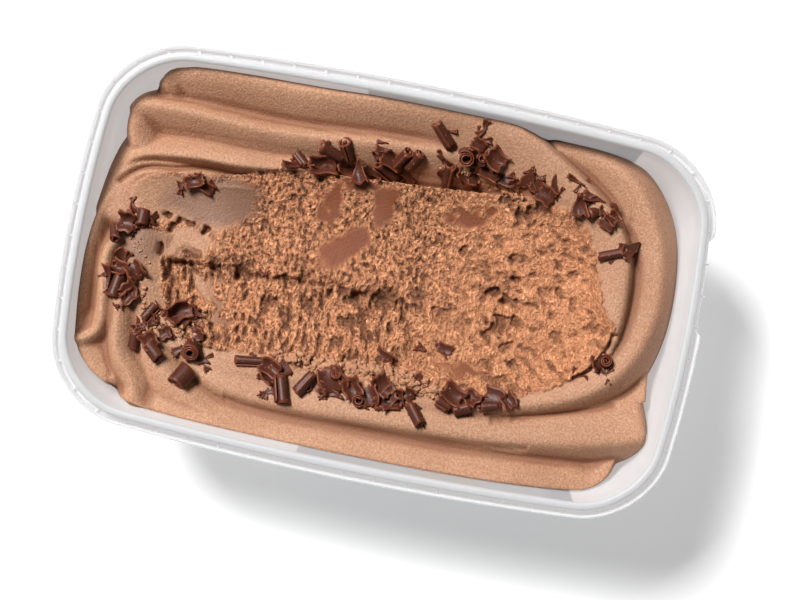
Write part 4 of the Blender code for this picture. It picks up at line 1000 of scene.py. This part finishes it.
def make_tub():
    """The tub as one closed skin, its fence cut back at the finger gap."""
    profile = tub_profile()
    count = len(outline(0.0))
    rings = []
    printed, within = [], []
    for place, (inset, height) in enumerate(profile):
        ring = outline(inset)
        under_lip = height < HEIGHT - LIP_ROUND
        on_wall = inset > LIP_INNER_INSET - WALL - 0.1 and BASE_ROUND - 1 < height and under_lip
        inner = place > len(profile) / 2 and under_lip
        strength = PRINT_SEEN_INSIDE if inner else 1.0
        within.append(np.full(count, 1.0 if inner else 0.0))
        printed.append(np.full(count, strength if on_wall else 0.0))
        in_gap = blend(GAP_START_Y - GAP_CHAMFER, GAP_START_Y, ring[:, 1])
        in_gap = in_gap * (1 - blend(GAP_END_Y, GAP_END_Y + GAP_CHAMFER, ring[:, 1])) * (ring[:, 0] > 0)
        if inset < GAP_DEPTH and height > HEIGHT - SKIRT_DROP - 1:
            ring = ring + (outline(GAP_DEPTH) - ring) * in_gap[:, None]
            heights = height + (min(height, HEIGHT - CHANNEL_DROP) - height) * in_gap
        else:
            heights = np.full(count, height)
        rings.append(np.column_stack([ring, heights]))
    points = np.vstack(rings)
    faces = ring_faces(len(rings), count)
    low_middle = len(points)
    points = np.vstack([points, [[0, 0, FOOT_HEIGHT], [0, 0, FLOOR_TOP]]])
    last = (len(rings) - 1) * count
    for place in range(count):
        after = (place + 1) % count
        faces.append((after, place, low_middle))
        faces.append((last + place, last + after, low_middle + 1))
    made = add_mesh("tub_shell", points, faces)
    add_attribute(made, "printed", np.concatenate([*printed, [0.0, 0.0]]))
    add_attribute(made, "inside", np.concatenate([*within, [0.0, 1.0]]))
    made.data.set_sharp_from_angle(angle=SHARP_ANGLE)
    return made


def make_ribs():
    """Small upright ribs across the lid channel, all the way round."""
    outer = outline(FENCE_WALL - RIB_OVERLAP)
    inner = outline(FENCE_WALL + CHANNEL_WIDTH + RIB_OVERLAP)
    closed = np.vstack([outer, outer[:1]])
    run = np.concatenate([[0], np.cumsum(np.hypot(*np.diff(closed, axis=0).T))])
    closed_inner = np.vstack([inner, inner[:1]])
    number = round(run[-1] / RIB_PITCH)
    low = HEIGHT - CHANNEL_DROP - RIB_SINK
    points, faces = [], []
    for rib in range(number):
        at = run[-1] * (rib + 0.5) / number
        ends = [np.array([np.interp(at, run, side[:, 0]), np.interp(at, run, side[:, 1])])
                for side in (closed, closed_inner)]
        across = ends[1] - ends[0]
        across = RIB_WIDTH / 2 * np.array([-across[1], across[0]]) / np.hypot(*across)
        corners = [ends[0] - across, ends[0] + across, ends[1] + across, ends[1] - across]
        start = len(points)
        points += [(*corner, level) for level in (low, low + RIB_HEIGHT) for corner in corners]
        faces += [[start + place for place in side] for side in
                  ((3, 2, 1, 0), (4, 5, 6, 7), (0, 1, 5, 4), (1, 2, 6, 5), (2, 3, 7, 6), (3, 0, 4, 7))]
    return add_mesh("channel_ribs", points, faces, smooth=False)


# Materials

class Nodes:
    """A short way to write a node tree."""

    def __init__(self, name):
        self.material = bpy.data.materials.new(name)
        self.material.use_nodes = True
        self.tree = self.material.node_tree
        self.shader = self.tree.nodes["Principled BSDF"]

    def add(self, kind, **values):
        """Adds a node, with values or links for its inputs by name."""
        made = self.tree.nodes.new(kind)
        for name, value in values.items():
            self.feed(made.inputs[name], value)
        return made

    def feed(self, socket, value):
        """Joins an output to a socket, or sets the socket's own value."""
        if isinstance(value, bpy.types.NodeSocket):
            self.tree.links.new(value, socket)
        else:
            socket.default_value = value

    def set(self, name, value):
        """Sets or feeds one socket of the shader."""
        self.feed(self.shader.inputs[name], value)

    def math(self, operation, first, second):
        """One sum of two values."""
        made = self.add("ShaderNodeMath")
        made.operation = operation
        self.feed(made.inputs[0], first)
        self.feed(made.inputs[1], second)
        return made.outputs[0]

    def times(self, first, second):
        """The product of two values."""
        return self.math("MULTIPLY", first, second)

    def mix(self, share, first, second):
        """The first colour, turning into the second as share goes from 0 to 1."""
        made = self.add("ShaderNodeMix")
        made.data_type = "RGBA"
        self.feed(made.inputs[0], share)
        self.feed(made.inputs[6], first)
        self.feed(made.inputs[7], second)
        return made.outputs[2]

    def ramp(self, value, low, high):
        """0 at low, 1 at high, smooth between; low may be the greater."""
        made = self.add("ShaderNodeMapRange", Value=value)
        made.interpolation_type = "SMOOTHSTEP"
        self.feed(made.inputs["From Min"], low)
        self.feed(made.inputs["From Max"], high)
        return made.outputs[0]

    def place(self):
        """The place on the object, in metres."""
        return self.add("ShaderNodeTexCoord").outputs["Object"]

    def noise(self, scale, detail=2.0, roughness=0.5, place=None):
        """Cloudy noise, with scale cells to a metre."""
        return self.add("ShaderNodeTexNoise", Vector=place or self.place(), Scale=scale,
                        Detail=detail, Roughness=roughness).outputs[0]

    def read(self, name):
        """The value that a mesh holds for each of its points."""
        made = self.add("ShaderNodeAttribute")
        made.attribute_name = name
        return made.outputs["Fac"]

    def bump(self, height, strength, distance, normal=None):
        """A normal tilted by a height, on top of another normal if one is given."""
        made = self.add("ShaderNodeBump", Height=height, Strength=strength, Distance=distance)
        if normal is not None:
            self.feed(made.inputs["Normal"], normal)
        return made.outputs[0]

    def scatter(self, weight, radius, scale):
        """Lets light into the material, so deep in metres and by colour."""
        self.set("Subsurface Weight", weight)
        self.set("Subsurface Radius", radius)
        self.set("Subsurface Scale", scale)


def ice_cream_material():
    """Chocolate ice cream: sandy frost on the folds, darker and redder where it is scraped, with painted
    shade in its creases, pores, pits, cracks and the gaps between grains.
    """
    n = Nodes("chocolate_ice_cream")
    torn = n.read("torn")
    smear = n.read("smear")
    broad = n.noise(45, 3)
    fine = n.noise(1500, 3, 0.7)
    speck = n.ramp(n.noise(1900, 1, 0.5), 0.60, 0.74)
    pore = n.ramp(n.noise(1300, 2, 0.5), 0.66, 0.76)
    fold = n.mix(n.times(n.ramp(broad, 0.35, 0.7), 0.25), RIBBON, RIBBON_DARK)
    fold = n.mix(n.times(n.ramp(fine, 0.42, 0.60), 0.50), fold, RIBBON_DARK)
    fold = n.mix(n.times(speck, 0.35), fold, SPECK_LIGHT)
    # Painted shade in the small pores of the folds
    fold = n.mix(n.times(pore, 0.45), fold, SCRAPED_DARK)
    # Painted shade, deepest in the creases between folds
    fold = n.mix(n.times(n.read("crease_shade"), 0.75), fold, CREASE_SHADE)
    grainy = n.mix(n.ramp(n.noise(900, 3, 0.6), 0.42, 0.66), SCRAPED, SCRAPED_DARK)
    grainy = n.mix(0.45, grainy, SCRAPED)
    polished = n.mix(n.times(n.ramp(broad, 0.35, 0.7), 0.4), POLISHED, SMEAR)
    colour = n.mix(n.read("scraped"), fold, polished)
    colour = n.mix(torn, colour, grainy)
    colour = n.mix(n.times(smear, 0.8), colour, SMEAR)
    stretched = n.add("ShaderNodeMapping", Vector=n.place(), Scale=(1.0, 0.62, 1.0)).outputs[0]
    granules = n.noise(1400, 3, 0.6, stretched)
    less_gap_shade = n.read("less_gap_shade")
    # Painted shade in the gaps between grains of the torn floor, less of it on the right and on crumbs
    gaps = n.times(n.ramp(granules, 0.46, 0.39), torn)
    gaps = n.times(gaps, n.math("SUBTRACT", 1.0, n.times(less_gap_shade, 0.65)))
    colour = n.mix(n.times(gaps, 0.85), colour, PIT_SHADE)
    # Painted shade in pits, the seam's cracks and the torn holes
    colour = n.mix(n.times(n.read("pit"), 0.75), colour, PIT_SHADE)
    n.set("Base Color", colour)
    n.set("Roughness", n.math("SUBTRACT", 0.60, n.times(smear, 0.22)))
    n.set("Specular IOR Level", 0.35)
    n.scatter(0.10, (1.0, 0.45, 0.25), 0.0010)
    clumps = n.bump(n.times(n.ramp(granules, 0.36, 0.64), torn), 1.0, 0.0009)
    n.set("Normal", n.bump(n.noise(1500, 3, 0.7), 0.7, 0.00045, clumps))
    return n.material


def chocolate_material():
    """Dark chocolate: satin faces, thin edges painted lighter and redder as if lit through, and a little
    pale bloom.
    """
    n = Nodes("dark_chocolate")
    rim = n.read("rim")
    bloom = n.ramp(n.noise(700, 4, 0.6), 0.60, 0.80)
    dust = n.ramp(n.noise(2500, 1, 0.5), 0.70, 0.78)
    # Painted light on the sheet's thin rim, as if light shone through it
    colour = n.mix(n.times(rim, 0.7), CHOCOLATE, CHOCOLATE_EDGE_GLOW)
    colour = n.mix(n.times(bloom, 0.16), colour, CHOCOLATE_BLOOM)
    colour = n.mix(n.times(dust, 0.5), colour, SPECK_LIGHT)
    n.set("Base Color", colour)
    n.set("Roughness", n.math("ADD", 0.42, n.times(bloom, 0.25)))
    n.set("Specular IOR Level", 0.24)
    n.scatter(0.1, (1.0, 0.3, 0.15), 0.0008)
    n.set("Normal", n.bump(n.noise(900, 4, 0.6), 0.35, 0.0002))
    return n.material


def plastic_material():
    """Milky translucent plastic with a faint mould texture, plain fields of print, and a painted glow,
    stronger on its inner faces, standing in for light let through the wall.
    """
    n = Nodes("white_plastic")
    haze = n.noise(60, 3)
    colour = n.mix(n.times(haze, 0.10), PLASTIC, PLASTIC_GREY)
    spot = n.add("ShaderNodeSeparateXYZ", Vector=n.place())
    x, z = spot.outputs["X"], spot.outputs["Z"]
    panel = n.times(n.ramp(x, *PRINT_START_X), n.ramp(x, *PRINT_END_X))
    panel = n.times(panel, n.times(n.ramp(z, *PRINT_START_Z), n.read("printed")))
    shade = n.mix(n.ramp(z, *BLUE_START_Z), PRINT_DEEP, PRINT_BLUE)
    olive = n.times(n.ramp(x, *OLIVE_START_X), n.ramp(x, *OLIVE_END_X))
    shade = n.mix(olive, shade, PRINT_OLIVE)
    shade = n.mix(n.ramp(x, *DEEP_START_X), shade, PRINT_DEEP)
    n.set("Base Color", n.mix(panel, colour, shade))
    # Painted light: the whole tub glows, more on its inner faces, for light through the milky wall; the
    # print glows dimmer
    glow = n.mix(n.read("inside"), PLASTIC, LIGHT_THROUGH)
    n.set("Emission Color", n.mix(panel, glow, PRINT_GLOW))
    n.set("Emission Strength", PLASTIC_GLOW)
    n.set("Specular IOR Level", 0.3)
    n.set("Roughness", n.math("ADD", 0.40, n.times(n.noise(300, 2), 0.12)))
    n.scatter(1.0, (1.0, 1.0, 1.0), 0.004)
    n.set("Normal", n.bump(n.noise(1800, 2, 0.6), 0.06, 0.0002))
    return n.material


def floor_material():
    """A plain pale floor."""
    n = Nodes("pale_floor")
    shade = n.mix(n.noise(8, 2), (0.86, 0.86, 0.86, 1), (0.88, 0.88, 0.88, 1))
    n.set("Base Color", shade)
    n.set("Roughness", 0.8)
    n.set("Emission Color", (1, 1, 1, 1))
    n.set("Emission Strength", FLOOR_GLOW)
    return n.material


# Stage

def add_area_light(name, place, aim, size, power):
    """A square soft light pointed at a place."""
    data = bpy.data.lights.new(name, "AREA")
    data.shape = "SQUARE"
    data.size = size
    data.energy = power
    light = bpy.data.objects.new(name, data)
    bpy.context.scene.collection.objects.link(light)
    light.location = place
    light.rotation_euler = (Vector(aim) - Vector(place)).to_track_quat("-Z", "Y").to_euler()


def add_stage():
    """Floor, sky and the one light."""
    mesh = bpy.data.meshes.new("floor")
    corners = [(x * FLOOR_HALF, y * FLOOR_HALF, 0) for x, y in ((-1, -1), (1, -1), (1, 1), (-1, 1))]
    mesh.from_pydata(corners, [], [(0, 1, 2, 3)])
    floor = bpy.data.objects.new("floor", mesh)
    bpy.context.scene.collection.objects.link(floor)
    mesh.materials.append(floor_material())
    world = bpy.data.worlds.new("studio")
    world.use_nodes = True
    sky = world.node_tree.nodes["Background"]
    sky.inputs["Color"].default_value = (1, 1, 1, 1)
    sky.inputs["Strength"].default_value = SKY_STRENGTH
    bpy.context.scene.world = world
    add_area_light("key", KEY_PLACE, KEY_AIM, KEY_SIZE, KEY_POWER)
    bpy.context.scene.view_settings.view_transform = "Standard"


def turn_about(vector):
    """The rotation by a small turn given as a vector."""
    turn = Vector(vector)
    return Matrix.Rotation(turn.length, 3, turn.normalized())


def add_camera():
    """The camera of the photograph, worked out from the tub's outline in it."""
    facing = (turn_about((*CAMERA_TILT, 0)) @ Matrix.Diagonal((1, -1, -1))
              @ Matrix.Rotation(CAMERA_YAW, 3, "Z"))
    place = -(facing.transposed() @ Vector(CAMERA_OFFSET))
    rim_height = HEIGHT - FENCE_DROP
    data = bpy.data.cameras.new("camera")
    data.sensor_width = SENSOR_MM
    data.lens = FOCAL_PX * SENSOR_MM / IMAGE_WIDTH_PX
    data.clip_start = 0.01
    camera = bpy.data.objects.new("camera", data)
    bpy.context.scene.collection.objects.link(camera)
    axes = Matrix((facing[0], -facing[1], -facing[2])).transposed()
    camera.matrix_world = Matrix.Translation((place + Vector((0, 0, rim_height))) * MM) @ axes.to_4x4()
    bpy.context.scene.camera = camera


def dress(piece, node, material):
    """Puts a finished piece in the place of a node of the part."""
    piece.data.materials.append(material)
    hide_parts(node)
    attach(piece, "root")


add_stage()
add_camera()
plastic = plastic_material()
dress(make_tub(), "tub", plastic)
dress(make_ribs(), "tub", plastic)
chocolate_ice = ice_cream_material()
dress(make_ice_cream(), "ice_cream", chocolate_ice)
dress(make_crumbs(), "ice_cream", chocolate_ice)
dress(make_curls(), "ice_cream", chocolate_material())

bpy.context.view_layer.update()
